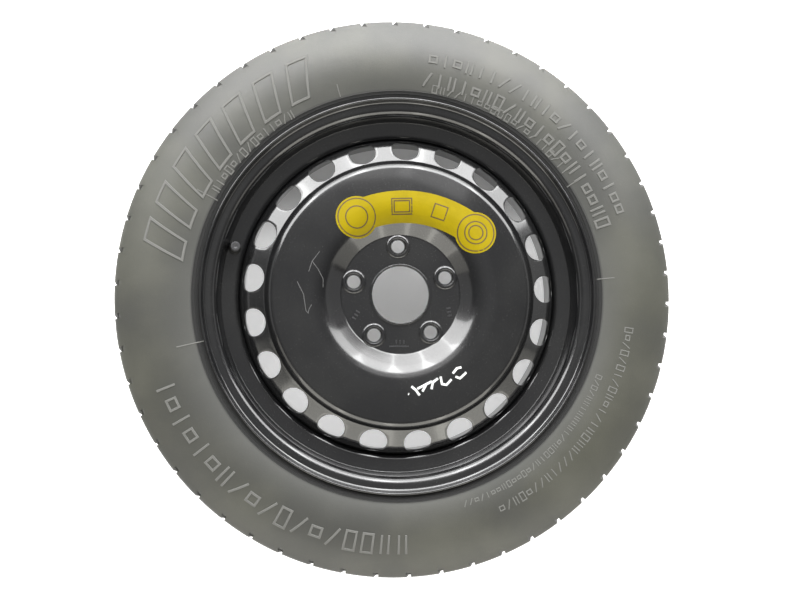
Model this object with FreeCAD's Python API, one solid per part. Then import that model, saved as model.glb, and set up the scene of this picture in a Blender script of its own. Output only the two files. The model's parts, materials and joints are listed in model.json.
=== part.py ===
import FreeCAD, Part
import math
import os

from FreeCAD import Placement, Rotation, Vector

# A temporary-use spare wheel that lies on its back, outer face up.
# The origin is the wheel's centre, on its axis and midway between the rim's flanges.
# +Z is the wheel's axis, towards the outer face. Lengths are in millimetres, angles in degrees.

# Rim, rolled from one strip of sheet
rim_width = 101.6
bead_seat_diameter = 405.6
bead_seat_width = 20.0
bead_seat_taper = 5.0
rim_thickness = 2.8
flange_height = 14.1
flange_curl_radius = 7.0
flange_lip_length = 3.0
heel_radius = 6.4
hump_rise = 1.6
hump_run = 6.5
hump_bend = 4.0
well_depth = 20.5
well_bend = 4.5
outboard_wall_lean = 10.0
inboard_wall_lean = 35.0

# Wheel disc, pressed from one blank
hub_offset = 36.0
disc_thickness = 3.5
bore_diameter = 63.4
bore_collar_width = 2.6
bore_collar_rise = 2.0
bore_collar_round_share = 0.45
pad_diameter = 132.5
pad_bend = 5.5
bowl_depth = 18.0
bowl_angle = 40.0
bowl_bend = 60.0
crown_fall = 5.0
shoulder_bend = 7.5
step_height = 7.0
step_run = 6.0
step_bend = 4.0
vent_land_run = 22.5
vent_land_slope = 21.0
vent_land_bend = 14.0
vent_wall_run = 7.45
vent_wall_slope = 65.0
vent_count = 21
vent_diameter = 30.3
vent_ring_radius = 163.65
vent_tilt = 34.5
vent_sink = 3.7
vent_start_angle = 88.1
skirt_bend = 8.0
skirt_clearance = 0.05

# Bolt seats, coined into the hub pad
bolt_count = 5
bolt_circle = 108.0
bolt_hole = 14.5
bolt_start_angle = 92.9
bolt_seat_mouth = 18.2
bolt_seat_cone = 60.0
bolt_collar_foot = 27.0
bolt_collar_top = 23.0
bolt_collar_rise = 2.0
bolt_relief_diameter = 21.0
bolt_relief_depth = 1.0

# Weld beads between the skirt's edge and the well
weld_count = 8
weld_sweep = 20.0
weld_leg = 3.0
weld_height = 4.5
weld_margin = 1.2

# Tyre
section_height = 107.2
sidewall_bulge = 13.2
widest_height = 59.0
tread_width = 101.0
crown_drop = 3.0
shoulder_radius = 7.0
bead_clearance = 0.15
bead_width = 17.0
bead_inner_height = 21.0
bead_wall = 8.5
sidewall_thickness = 6.8
tread_thickness = 11.5
shoulder_thickness = 9.0
flange_wrap_angle = 72.0
groove_width = 5.5
groove_depth = 4.6
groove_spacing = 23.0
groove_count = 3
notch_count = 54
notch_start_angle = 4.8
notch_width = 3.2
notch_mouth_width = 5.2
notch_lean = 3.4
notch_depth = 5.5
notch_length = 15.0

# Sticker on the bowl
label_thickness = 0.2
label_inner_radius = 104.2
label_outer_radius = 139.2
label_start_angle = 50.1
label_end_angle = 116.3
label_disc_diameter = 46.0
label_centre_x = 4.4
label_centre_y = -25.1

# Tyre valve, measured along its own axis from the rim's outer face
valve_angle = 164.2
valve_hole = 11.5
valve_hole_clearance = 0.1
valve_base_diameter = 17.0
valve_base_height = 5.0
valve_base_chamfer = 1.2
valve_base_round = 2.0
valve_bulb_diameter = 14.0
valve_bulb_height = 3.0
valve_bulb_flare = 0.6
valve_taper_share = 0.7
valve_rubber_length = 13.0
valve_rubber_top_diameter = 9.6
stem_body_diameter = 5.8
stem_thread_diameter = 7.7
stem_thread_length = 9.5
stem_lower_bore = 3.9
stem_foot_bore = 2.6
core_chamber_diameter = 5.2
core_chamber_depth = 8.4
core_seat_length = 1.6
close_fit = 0.05

# Valve core
core_plug_setback = 2.3
core_plug_ring = 3.0
core_plug_bridge = 2.2
core_bridge_width = 2.4
core_plug_bore = 2.2
core_barrel_diameter = 3.5
core_barrel_bore = 2.3
core_barrel_length = 8.0
core_ledge_bore = 1.5
core_ledge_height = 0.8
core_running_fit = 0.1
pin_diameter = 0.84
pin_setback = 0.6
pin_head_diameter = 1.5
pin_head_height = 0.6
pin_collar_diameter = 1.9
pin_collar_height = 0.4
pin_collar_depth = 8.8
pin_travel = 1.2
cup_diameter = 3.1
cup_height = 1.4
cup_wall = 0.25
cup_room = 1.5
washer_height = 0.6
spring_wire = 0.26
spring_wire_sides = 6
spring_turns = 5

# Dust cap
cap_diameter = 10.4
cap_mouth_gap = 0.4
cap_top = 1.5
cap_thread_clearance = 0.2
cap_edge_round = 0.8
cap_dimple_diameter = 4.2
cap_dimple_depth = 0.6
cap_flute_count = 16
cap_flute_diameter = 1.2
cap_flute_depth = 0.35
cap_seal_height = 0.9

# Worked out from the rim
seat_radius = bead_seat_diameter / 2
flange_radius = seat_radius + flange_height
flange_z = rim_width / 2
lip_z = flange_z + flange_curl_radius + flange_lip_length
seat_end_radius = seat_radius - bead_seat_width * math.tan(math.radians(bead_seat_taper))
seat_end_z = flange_z - bead_seat_width
hump_radius = seat_end_radius + hump_rise
hump_z = seat_end_z - hump_run
well_radius = seat_radius - well_depth
well_inner_radius = well_radius - rim_thickness
outboard_foot_z = hump_z - (hump_radius - well_radius) * math.tan(math.radians(outboard_wall_lean))
inboard_foot_z = -hump_z + (hump_radius - well_radius) * math.tan(math.radians(inboard_wall_lean))
flange_bend_share = 0.9
flange_bend = min(flange_curl_radius, flange_bend_share * flange_height)
heel_bend = min(heel_radius, flange_bend_share * (flange_height - flange_bend))

# Worked out from the disc
bore_collar_round = bore_collar_round_share * min(bore_collar_rise, bore_collar_width)
pad_z = hub_offset + disc_thickness
skirt_radius = well_inner_radius - skirt_clearance
land_end_radius = skirt_radius - vent_wall_run
step_foot_radius = land_end_radius - vent_land_run
disc_shoulder_radius = step_foot_radius - step_run
inboard_well_bend = well_bend + rim_thickness
inboard_bend_reach = inboard_well_bend * math.tan(math.radians((90 - inboard_wall_lean) / 2))
inboard_bend_shift = rim_thickness * math.tan(math.radians((90 - inboard_wall_lean) / 2))
well_floor_z = inboard_foot_z - inboard_bend_shift + inboard_bend_reach
skirt_end_z = well_floor_z + weld_height + weld_margin

# Worked out from the valve, in heights along its axis
valve_base_z = -rim_thickness - valve_base_height
stem_tip_z = valve_rubber_length + stem_thread_length
core_seat_z = stem_tip_z - core_chamber_depth
core_bore_top_z = core_seat_z - core_seat_length
plug_top_z = stem_tip_z - core_plug_setback
plug_foot_z = plug_top_z - core_plug_bridge - core_plug_ring
barrel_foot_z = plug_foot_z - core_barrel_length
ledge_z = barrel_foot_z + core_ledge_height
pin_tip_z = stem_tip_z - pin_setback
pin_collar_z = pin_tip_z - pin_collar_depth
washer_top_z = barrel_foot_z - close_fit
washer_foot_z = washer_top_z - washer_height
cup_foot_z = washer_foot_z - cup_height
stem_foot_bore_z = cup_foot_z - pin_travel - cup_room
cap_seat_z = stem_tip_z + close_fit
cap_roof_z = cap_seat_z + cap_seal_height
cap_mouth_z = valve_rubber_length + cap_mouth_gap

AXIS = Vector(0, 0, 1)
ORIGIN = Vector(0, 0, 0)
NEAR = 1e-6
# Places in the rim's run
WELL_FOOT = 6
HUMP_CREST = 7
# Share of a straight run that the bends at its ends may take, and the smallest bend as a share of the sheet
RUN_SHARE = 0.98
LEAST_BEND = 0.1


def profile_point(radius, height):
    """A point of a turned profile, in the plane through the axis."""
    return Vector(radius, 0, height)


def turn_angle(before, corner, after):
    """How far a run of points turns at a corner, in radians."""
    return (corner - before).getAngle(after - corner)


def turns_left(before, corner, after):
    """True where the run turns towards the left of its way along."""
    first = corner - before
    second = after - corner
    return first.x * second.z - first.z * second.x > 0


def fitted_bends(points, bends):
    """The bend radii, each limited so that neighbouring bends fit on the run between them."""
    corners = list(zip(points, points[1:], points[2:]))
    reaches = [bend * math.tan(turn_angle(*corner) / 2) for corner, bend in zip(corners, bends)]
    padded = [0.0] + reaches + [0.0]
    shares = [1.0] * len(padded)
    for index, (start, end) in enumerate(zip(points, points[1:])):
        needed = padded[index] + padded[index + 1]
        share = min(1.0, RUN_SHARE * start.distanceToPoint(end) / needed) if needed else 1.0
        shares[index] = min(shares[index], share)
        shares[index + 1] = min(shares[index + 1], share)
    return [bend * share for bend, share in zip(bends, shares[1:-1])]


def corner_arc(before, corner, after, bend):
    """Start, middle and end of the arc that rounds a corner."""
    back = (before - corner).normalize()
    ahead = (after - corner).normalize()
    half = back.getAngle(ahead) / 2
    reach = bend / math.tan(half)
    bisector = (back + ahead).normalize()
    middle = corner + bisector * (bend / math.sin(half) - bend)
    return corner + back * reach, middle, corner + ahead * reach


def rounded_edges(points, bends):
    """Lines along a run of points, with an arc at each inner point that has a bend."""
    edges = []
    start = points[0]
    for before, corner, after, bend in zip(points, points[1:], points[2:], bends):
        arc_start, arc_middle, arc_end = corner_arc(before, corner, after, bend)
        edges.append(Part.makeLine(start, arc_start))
        if bend:
            edges.append(Part.Arc(arc_start, arc_middle, arc_end).toShape())
        start = arc_end
    edges.append(Part.makeLine(start, points[-1]))
    return edges


def left_normal(start, end):
    """The unit normal to the left of a run, in the profile's plane."""
    along = (end - start).normalize()
    return Vector(-along.z, 0, along.x)


def parallel_points(points, distance):
    """The run of points that lies a distance to the left of another, or to its right if negative."""
    normals = [left_normal(start, end) for start, end in zip(points, points[1:])]
    moved = [points[0] + normals[0] * distance]
    for corner, first, second in zip(points[1:], normals, normals[1:]):
        moved.append(corner + (first + second) * (distance / (1 + first.dot(second))))
    moved.append(points[-1] + normals[-1] * distance)
    return moved


def parallel_bends(points, bends, distance):
    """The bend radii of the parallel run, about the same centres."""
    moved = []
    for before, corner, after, bend in zip(points, points[1:], points[2:], bends):
        inward = distance if turns_left(before, corner, after) else -distance
        moved.append(max(bend - inward, LEAST_BEND * abs(distance)) if bend else 0.0)
    return moved


def section_face(edges):
    """The face inside a closed ring of edges."""
    return Part.Face(Part.Wire(Part.__sortEdges__(edges)))


def sheet_section(points, bends, thickness):
    """The section of a bent sheet, thickened to the left of a run, or to its right if negative."""
    fitted = fitted_bends(points, bends)
    far_points = parallel_points(points, thickness)
    edges = rounded_edges(points, fitted)
    edges += rounded_edges(far_points, parallel_bends(points, fitted, thickness))
    edges += [Part.makeLine(points[0], far_points[0]), Part.makeLine(points[-1], far_points[-1])]
    return section_face(edges)


def polygon_section(corners):
    """The face inside straight lines between (radius, height) corners."""
    points = [profile_point(*corner) for corner in corners]
    return Part.Face(Part.makePolygon(points + [points[0]]))


def turned(section, sweep=360):
    """A section turned about the axis."""
    return section.revolve(ORIGIN, AXIS, sweep)


def around(shape, count, start_angle=0.0):
    """Copies of a shape, evenly spaced about the axis."""
    copies = []
    for index in range(count):
        copy = shape.copy()
        copy.rotate(ORIGIN, AXIS, start_angle + 360 * index / count)
        copies.append(copy)
    return copies


def rim_run():
    """The tyre side of the rim's sheet, from the inboard lip to the outboard lip."""
    return [
        profile_point(flange_radius, -lip_z),
        profile_point(flange_radius, -flange_z),
        profile_point(seat_radius, -flange_z),
        profile_point(seat_end_radius, -seat_end_z),
        profile_point(hump_radius, -hump_z),
        profile_point(well_radius, inboard_foot_z),
        profile_point(well_radius, outboard_foot_z),
        profile_point(hump_radius, hump_z),
        profile_point(seat_end_radius, seat_end_z),
        profile_point(seat_radius, flange_z),
        profile_point(flange_radius, flange_z),
        profile_point(flange_radius, lip_z),
    ]


def rim_bends():
    """The bend radii of the rim's tyre side, in the order of its run."""
    half = [flange_bend, heel_bend, 0.0, hump_bend, well_bend]
    return half + half[::-1]


def valve_seat():
    """The middle of the well's flat outboard wall, on the rim's outer face, before it turns to its angle."""
    points = rim_run()
    bends = fitted_bends(points, rim_bends())
    foot = corner_arc(*points[WELL_FOOT - 1:WELL_FOOT + 2], bends[WELL_FOOT - 1])[2]
    crest = corner_arc(*points[HUMP_CREST - 1:HUMP_CREST + 2], bends[HUMP_CREST - 1])[0]
    return (foot + crest) * 0.5 + left_normal(foot, crest) * rim_thickness


def valve_placement():
    """From the valve's own heights to its place in the wheel."""
    lean = Placement(valve_seat(), Rotation(Vector(0, 1, 0), -outboard_wall_lean))
    return Placement(ORIGIN, Rotation(AXIS, valve_angle)).multiply(lean)


def on_valve(shape):
    """A piece of the valve, moved to its place in the wheel."""
    placed = shape.copy()
    placed.Placement = valve_placement()
    return placed


def make_rim():
    """The rolled rim with its valve hole."""
    rim = turned(sheet_section(rim_run(), rim_bends(), rim_thickness))
    drill = Part.makeCylinder(valve_hole / 2, 4 * rim_thickness, Vector(0, 0, -2.5 * rim_thickness))
    return rim.cut(on_valve(drill))


def disc_run():
    """The outer side of the disc's sheet, from the bore to the skirt's edge."""
    crown_radius = pad_diameter / 2 + bowl_depth / math.tan(math.radians(bowl_angle))
    crown_z = pad_z + bowl_depth
    fall = (disc_shoulder_radius - crown_radius) * math.tan(math.radians(crown_fall))
    step_foot_z = crown_z - fall - step_height
    land_end_z = step_foot_z - vent_land_run * math.tan(math.radians(vent_land_slope))
    skirt_top_z = land_end_z - vent_wall_run * math.tan(math.radians(vent_wall_slope))
    return [
        profile_point(bore_diameter / 2, pad_z),
        profile_point(pad_diameter / 2, pad_z),
        profile_point(crown_radius, crown_z),
        profile_point(disc_shoulder_radius, crown_z - fall),
        profile_point(step_foot_radius, step_foot_z),
        profile_point(land_end_radius, land_end_z),
        profile_point(skirt_radius, skirt_top_z),
        profile_point(skirt_radius, skirt_end_z),
    ]


def disc_bends():
    """The bend radii of the disc's outer side."""
    return [pad_bend, bowl_bend, shoulder_bend, step_bend, vent_land_bend, skirt_bend]


def vent_cutters():
    """Punches for the vents, each across the bend between the land and the steep wall."""
    step_foot = disc_run()[4]
    land_z = step_foot.z - (vent_ring_radius - step_foot.x) * math.tan(math.radians(vent_land_slope))
    tilt = math.radians(vent_tilt)
    direction = Vector(math.sin(tilt), 0, math.cos(tilt))
    reach = vent_diameter / 2 + disc_thickness
    centre = Vector(vent_ring_radius, 0, land_z - vent_sink)
    punch = Part.makeCylinder(vent_diameter / 2, 2 * reach, centre - direction * reach, direction)
    return around(punch, vent_count, vent_start_angle)


def bolt_collars():
    """Raised rings of the bolt seats, standing on the pad."""
    collar = Part.makeCone(bolt_collar_foot / 2, bolt_collar_top / 2, bolt_collar_rise,
                           Vector(bolt_circle / 2, 0, pad_z))
    return around(collar, bolt_count, bolt_start_angle)


def bolt_cutters():
    """Bolt holes with their conical seats, and the relief behind each."""
    ring = bolt_circle / 2
    top_z = pad_z + bolt_collar_rise
    cone_depth = (bolt_seat_mouth - bolt_hole) / 2 / math.tan(math.radians(bolt_seat_cone / 2))
    hole = Part.makeCylinder(bolt_hole / 2, 4 * disc_thickness, Vector(ring, 0, hub_offset - disc_thickness))
    seat = Part.makeCone(bolt_hole / 2, bolt_seat_mouth / 2, cone_depth, Vector(ring, 0, top_z - cone_depth))
    relief = Part.makeCylinder(bolt_relief_diameter / 2, bolt_relief_depth, Vector(ring, 0, hub_offset))
    cutters = []
    for cutter in (hole, seat, relief):
        cutters += around(cutter, bolt_count, bolt_start_angle)
    return cutters


def bore_collar():
    """The rounded ring drawn up around the centre bore."""
    inner = bore_diameter / 2
    outer = inner + bore_collar_width
    ring = turned(polygon_section([(inner, pad_z), (outer, pad_z), (outer, pad_z + bore_collar_rise),
                                   (inner, pad_z + bore_collar_rise)]))
    top_edges = [edge for edge in ring.Edges
                 if abs(edge.BoundBox.ZMin - pad_z - bore_collar_rise) < NEAR and edge.BoundBox.ZLength < NEAR
                 and edge.BoundBox.XLength > outer + inner]
    return ring.makeFillet(bore_collar_round, top_edges)


def make_wheel_disc():
    """The pressed disc: hub pad, bowl, shoulder, vented land and wall, and skirt."""
    disc = turned(sheet_section(disc_run(), disc_bends(), -disc_thickness))
    disc = disc.fuse([bore_collar()] + bolt_collars()).removeSplitter()
    return disc.cut(bolt_cutters() + vent_cutters())


def make_weld_beads():
    """Short fillet welds between the skirt's edge and the well's inner face."""
    outer = well_inner_radius - skirt_clearance
    section = polygon_section([(outer, skirt_end_z), (outer - weld_leg, skirt_end_z),
                               (outer, skirt_end_z - weld_height)])
    return Part.makeCompound(around(turned(section, weld_sweep), weld_count))


def tyre_half_edges(side):
    """One side of the tyre's section, from its outer shoulder round the bead to its inner shoulder."""
    flange_face = flange_z - bead_clearance
    wrap = flange_bend + bead_clearance
    wrap_radius = flange_radius - flange_bend
    wrap_z = flange_z + flange_bend

    def place(radius, height):
        return profile_point(radius, side * height)

    def on_flange(angle):
        turn = math.radians(angle)
        return place(wrap_radius + wrap * math.sin(turn), wrap_z - wrap * math.cos(turn))

    widest_radius = seat_radius + widest_height
    widest_z = flange_z + sidewall_bulge
    tread_radius = seat_radius + section_height
    shoulder = place(tread_radius - crown_drop, tread_width / 2)
    toe_z = flange_face - bead_width
    taper = math.tan(math.radians(bead_seat_taper))
    bead_run = [
        on_flange(0),
        place(seat_radius + bead_clearance, flange_face),
        place(seat_radius + bead_clearance - taper * bead_width, toe_z),
        place(seat_radius + bead_inner_height, flange_face - bead_wall),
    ]
    inner_shoulder = place(tread_radius - crown_drop - tread_thickness, tread_width / 2 - shoulder_thickness)
    inner_widest = place(widest_radius, widest_z - sidewall_thickness)
    return [
        Part.Arc(shoulder, place(widest_radius, widest_z), on_flange(flange_wrap_angle)).toShape(),
        Part.Arc(on_flange(flange_wrap_angle), on_flange(flange_wrap_angle / 2), on_flange(0)).toShape(),
        *rounded_edges(bead_run, fitted_bends(bead_run, [heel_bend, 0.0])),
        Part.Arc(bead_run[-1], inner_widest, inner_shoulder).toShape(),
    ], shoulder, inner_shoulder


def tread_grooves():
    """Rings that cut the grooves round the tread."""
    outer = seat_radius + section_height + groove_depth
    floor = seat_radius + section_height - groove_depth
    rings = []
    for index in range(groove_count):
        height = (index - (groove_count - 1) / 2) * groove_spacing
        drop = crown_drop * (2 * height / tread_width) ** 2
        rings.append(turned(polygon_section([
            (floor - drop, height - groove_width / 2), (outer, height - groove_width / 2),
            (outer, height + groove_width / 2), (floor - drop, height + groove_width / 2)])))
    return rings


def notch_outline(side):
    """A slot on one shoulder, seen from outside: it leans round the tread and widens to its mouth."""
    inner_z = tread_width / 2 - notch_length
    reach = 2 * notch_length
    lean = notch_lean * reach / notch_length
    half_mouth = (notch_width + (notch_mouth_width - notch_width) * reach / notch_length) / 2
    floor_radius = seat_radius + section_height - crown_drop - notch_depth
    corners = [
        (notch_lean - notch_width / 2, inner_z),
        (notch_lean + notch_width / 2, inner_z),
        (notch_lean - lean + half_mouth, inner_z + reach),
        (notch_lean - lean - half_mouth, inner_z + reach),
    ]
    points = [Vector(floor_radius, across, side * height) for across, height in corners]
    return Part.Face(Part.makePolygon(points + points[:1]))


def shoulder_notches():
    """Slots across both shoulders of the tread."""
    slots = []
    for side in (1, -1):
        slot = notch_outline(side).extrude(Vector(3 * notch_depth, 0, 0))
        slots += around(slot, notch_count, notch_start_angle)
    return slots


def make_tyre():
    """The tyre: beads, sidewalls and a grooved tread, moulded as one."""
    upper, upper_shoulder, upper_inner = tyre_half_edges(1)
    lower, lower_shoulder, lower_inner = tyre_half_edges(-1)
    tread_radius = seat_radius + section_height
    crown = Part.Arc(lower_shoulder, profile_point(tread_radius, 0), upper_shoulder).toShape()
    ceiling = Part.Arc(lower_inner, profile_point(tread_radius - tread_thickness, 0), upper_inner).toShape()
    tyre = turned(section_face(upper + lower + [crown, ceiling]))
    shoulder_edges = [edge for edge in tyre.Edges
                      if abs(edge.BoundBox.XMax - upper_shoulder.x) < NEAR and edge.BoundBox.ZLength < NEAR]
    tyre = tyre.makeFillet(shoulder_radius, shoulder_edges)
    return tyre.cut(tread_grooves() + shoulder_notches())


def make_label():
    """The sticker: a film that follows the bowl, an arc with a round end at each side."""
    film = turned(sheet_section(disc_run(), disc_bends(), label_thickness))
    foot = Vector(label_centre_x, label_centre_y, 0)
    height = lip_z + bowl_depth
    sweep = label_end_angle - label_start_angle
    band = Part.makeCylinder(label_outer_radius, height, foot, AXIS, sweep)
    band = band.cut(Part.makeCylinder(label_inner_radius, height, foot))
    band.rotate(foot, AXIS, label_start_angle)
    disc_ring = (label_inner_radius + label_outer_radius) / 2
    ends = []
    for angle in (label_start_angle, label_end_angle):
        reach = Vector(math.cos(math.radians(angle)), math.sin(math.radians(angle)), 0) * disc_ring
        ends.append(Part.makeCylinder(label_disc_diameter / 2, height, foot + reach))
    return film.common(band.fuse(ends).removeSplitter())


def make_valve_rubber():
    """The rubber body that snaps into the rim's hole."""
    neck = valve_hole / 2 - valve_hole_clearance
    base = valve_base_diameter / 2
    bulb = valve_bulb_diameter / 2
    bore = stem_body_diameter / 2
    seat_z = -rim_thickness - close_fit
    outline = [
        (bore, valve_base_z),
        (base - valve_base_round, valve_base_z),
        (base, valve_base_z + valve_base_round),
        (base, seat_z - valve_base_chamfer),
        (neck, seat_z),
        (neck, close_fit),
        (bulb, close_fit + valve_bulb_flare),
        (bulb, valve_bulb_height),
        (valve_rubber_top_diameter / 2, valve_taper_share * valve_rubber_length),
        (valve_rubber_top_diameter / 2, valve_rubber_length),
        (bore, valve_rubber_length),
    ]
    return turned(polygon_section(outline))


def make_valve_stem():
    """The brass stem, bored for the valve core."""
    body = stem_body_diameter / 2 - close_fit
    thread = stem_thread_diameter / 2
    lower = stem_lower_bore / 2
    foot = stem_foot_bore / 2
    chamber = core_chamber_diameter / 2
    outline = [
        (foot, valve_base_z),
        (body, valve_base_z),
        (body, valve_rubber_length + close_fit),
        (thread, valve_rubber_length + close_fit),
        (thread, stem_tip_z),
        (chamber, stem_tip_z),
        (chamber, core_seat_z),
        (lower, core_bore_top_z),
        (lower, stem_foot_bore_z),
        (foot, stem_foot_bore_z),
    ]
    return turned(polygon_section(outline))


def make_valve_core_plug():
    """The screw plug: a ring below, and a bridge across its top that a key turns."""
    radius = core_chamber_diameter / 2 - core_running_fit
    height = plug_top_z - plug_foot_z
    body = Part.makeCylinder(radius, height, Vector(0, 0, plug_foot_z))
    bridge_z = plug_foot_z + core_plug_ring
    for low_y in (core_bridge_width / 2, -core_bridge_width / 2 - radius):
        corner = Vector(-radius, low_y, bridge_z)
        body = body.cut(Part.makeBox(2 * radius, radius, 2 * core_plug_bridge, corner))
    return body.cut(Part.makeCylinder(core_plug_bore / 2, height, Vector(0, 0, plug_foot_z)))


def make_valve_core_barrel():
    """The barrel, with a ledge at its foot that the spring stands on."""
    outer = core_barrel_diameter / 2
    bore = core_barrel_bore / 2
    ledge = core_ledge_bore / 2
    outline = [
        (ledge, barrel_foot_z),
        (outer, barrel_foot_z),
        (outer, plug_foot_z),
        (bore, plug_foot_z),
        (bore, ledge_z),
        (ledge, ledge_z),
    ]
    return turned(polygon_section(outline))


def make_valve_core_gasket():
    """The sealing ring round the barrel, seated in the stem's cone."""
    inner = core_barrel_diameter / 2
    outer = core_chamber_diameter / 2 - close_fit
    tip = stem_lower_bore / 2 - close_fit
    return turned(polygon_section([(inner, core_bore_top_z), (tip, core_bore_top_z), (outer, core_seat_z),
                                   (inner, core_seat_z)]))


def make_valve_core_pin():
    """The pin, with a head to push on and a collar that the spring lifts."""
    rod = pin_diameter / 2
    outline = [
        (0, cup_foot_z),
        (rod, cup_foot_z),
        (rod, pin_collar_z),
        (pin_collar_diameter / 2, pin_collar_z),
        (pin_collar_diameter / 2, pin_collar_z + pin_collar_height),
        (rod, pin_collar_z + pin_collar_height),
        (rod, pin_tip_z - pin_head_height),
        (pin_head_diameter / 2, pin_tip_z - pin_head_height / 2),
        (pin_head_diameter / 2, pin_tip_z),
        (0, pin_tip_z),
    ]
    return turned(polygon_section(outline))


def make_valve_core_cup():
    """The cup staked on the pin's foot."""
    outer = cup_diameter / 2
    bore = pin_diameter / 2
    rim_z = washer_top_z - washer_height / 2
    outline = [
        (bore, cup_foot_z),
        (outer - cup_wall, cup_foot_z),
        (outer, cup_foot_z + cup_wall),
        (outer, rim_z),
        (outer - cup_wall, rim_z),
        (outer - cup_wall, washer_foot_z),
        (bore, washer_foot_z),
    ]
    return turned(polygon_section(outline))


def make_valve_core_washer():
    """The washer in the cup, which closes the barrel's foot."""
    outer = cup_diameter / 2 - cup_wall
    bore = pin_diameter / 2
    return turned(polygon_section([(bore, washer_foot_z), (outer, washer_foot_z), (outer, washer_top_z),
                                   (bore, washer_top_z)]))


def make_valve_core_spring():
    """The coil between the barrel's ledge and the pin's collar."""
    wire = spring_wire / 2
    coil_radius = (core_barrel_bore / 2 + pin_diameter / 2) / 2
    low_z = ledge_z + wire + close_fit
    height = pin_collar_z - wire - close_fit - low_z
    path = Part.makeHelix(height / spring_turns, height, coil_radius)
    path.translate(Vector(0, 0, low_z))
    start = Vector(coil_radius, 0, low_z)
    turns = [2 * math.pi * side / spring_wire_sides for side in range(spring_wire_sides)]
    ring = [start + Vector(wire * math.cos(turn), 0, wire * math.sin(turn)) for turn in turns]
    section = Part.makePolygon(ring + [ring[0]])
    return Part.Wire(path).makePipeShell([section], True, True)


def make_valve_cap():
    """The fluted dust cap."""
    outer = cap_diameter / 2
    bore = stem_thread_diameter / 2 + cap_thread_clearance
    top_z = cap_roof_z + cap_top
    outline = [
        (0, cap_roof_z),
        (bore, cap_roof_z),
        (bore, cap_mouth_z),
        (outer, cap_mouth_z),
        (outer, top_z - cap_edge_round),
        (outer - cap_edge_round, top_z),
        (cap_dimple_diameter / 2, top_z),
        (0, top_z - cap_dimple_depth),
    ]
    cap = turned(polygon_section(outline))
    flute_ring = outer + cap_flute_diameter / 2 - cap_flute_depth
    flute = Part.makeCylinder(cap_flute_diameter / 2, top_z - cap_mouth_z, Vector(flute_ring, 0, cap_mouth_z))
    return cap.cut(around(flute, cap_flute_count))


def make_valve_cap_seal():
    """The sealing disc under the cap's roof."""
    radius = stem_thread_diameter / 2 + cap_thread_clearance - close_fit
    return Part.makeCylinder(radius, cap_seal_height - close_fit, Vector(0, 0, cap_seat_z))


def make_parts():
    """Every piece of the wheel, by the name of its node."""
    parts = {
        "tyre": make_tyre(),
        "rim": make_rim(),
        "wheel_disc": make_wheel_disc(),
        "weld_beads": make_weld_beads(),
        "label": make_label(),
    }
    valve_pieces = {
        "valve_rubber": make_valve_rubber(),
        "valve_stem": make_valve_stem(),
        "valve_core_plug": make_valve_core_plug(),
        "valve_core_barrel": make_valve_core_barrel(),
        "valve_core_gasket": make_valve_core_gasket(),
        "valve_core_pin": make_valve_core_pin(),
        "valve_core_cup": make_valve_core_cup(),
        "valve_core_washer": make_valve_core_washer(),
        "valve_core_spring": make_valve_core_spring(),
        "valve_cap": make_valve_cap(),
        "valve_cap_seal": make_valve_cap_seal(),
    }
    for name, shape in valve_pieces.items():
        parts[name] = on_valve(shape)
    return parts


def main():
    """Write one file for each piece."""
    os.makedirs("parts", exist_ok=True)
    for name, shape in make_parts().items():
        shape.exportStep(os.path.join("parts", name + ".step"))


if __name__ == "__main__":
    main()
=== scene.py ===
"""Looks of a temporary-use spare wheel: a narrow tyre on a pressed-steel wheel, with its sticker and valve."""

import bisect
import json
import logging
import math
import random
from dataclasses import dataclass
from enum import Enum
from typing import Callable, Sequence, Union

import bmesh
import bpy
from mathutils import Matrix, Vector


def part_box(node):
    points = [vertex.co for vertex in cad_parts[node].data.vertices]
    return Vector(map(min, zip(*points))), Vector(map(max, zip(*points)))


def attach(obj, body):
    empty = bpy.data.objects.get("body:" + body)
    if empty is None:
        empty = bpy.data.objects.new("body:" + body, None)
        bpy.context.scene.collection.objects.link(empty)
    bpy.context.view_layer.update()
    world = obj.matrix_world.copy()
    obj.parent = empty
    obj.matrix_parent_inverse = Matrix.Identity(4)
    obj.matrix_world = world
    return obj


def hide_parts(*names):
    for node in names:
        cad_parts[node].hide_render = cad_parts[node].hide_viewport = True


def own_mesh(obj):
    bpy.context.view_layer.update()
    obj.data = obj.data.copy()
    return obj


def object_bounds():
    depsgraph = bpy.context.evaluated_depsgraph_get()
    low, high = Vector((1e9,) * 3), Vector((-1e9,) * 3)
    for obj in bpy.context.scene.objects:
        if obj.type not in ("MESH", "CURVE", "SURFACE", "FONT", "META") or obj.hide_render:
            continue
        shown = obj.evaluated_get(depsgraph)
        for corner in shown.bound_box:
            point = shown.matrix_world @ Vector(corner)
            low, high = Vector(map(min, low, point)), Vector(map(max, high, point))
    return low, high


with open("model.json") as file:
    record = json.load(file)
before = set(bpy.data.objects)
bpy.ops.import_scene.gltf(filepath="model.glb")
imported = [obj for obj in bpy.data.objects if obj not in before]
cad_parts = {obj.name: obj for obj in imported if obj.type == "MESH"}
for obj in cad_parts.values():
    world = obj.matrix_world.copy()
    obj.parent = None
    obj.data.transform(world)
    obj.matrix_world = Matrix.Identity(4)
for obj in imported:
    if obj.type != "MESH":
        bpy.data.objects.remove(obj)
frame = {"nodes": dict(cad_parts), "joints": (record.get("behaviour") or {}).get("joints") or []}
CAD_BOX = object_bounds()

LOG = logging.getLogger("spare_wheel")
WHEEL_BODY = "wheel"
ARC_STEP = math.radians(6)
WELD_DISTANCE = 2e-6
LEAST_BEND = 0.0003
STROKE_SLOPE = 0.7
STROKE_SINK = 0.6
# Places of three corners in the disc's profile
STEP_CORNER, LAND_CORNER, SKIRT_CORNER = 4, 5, 6

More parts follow.
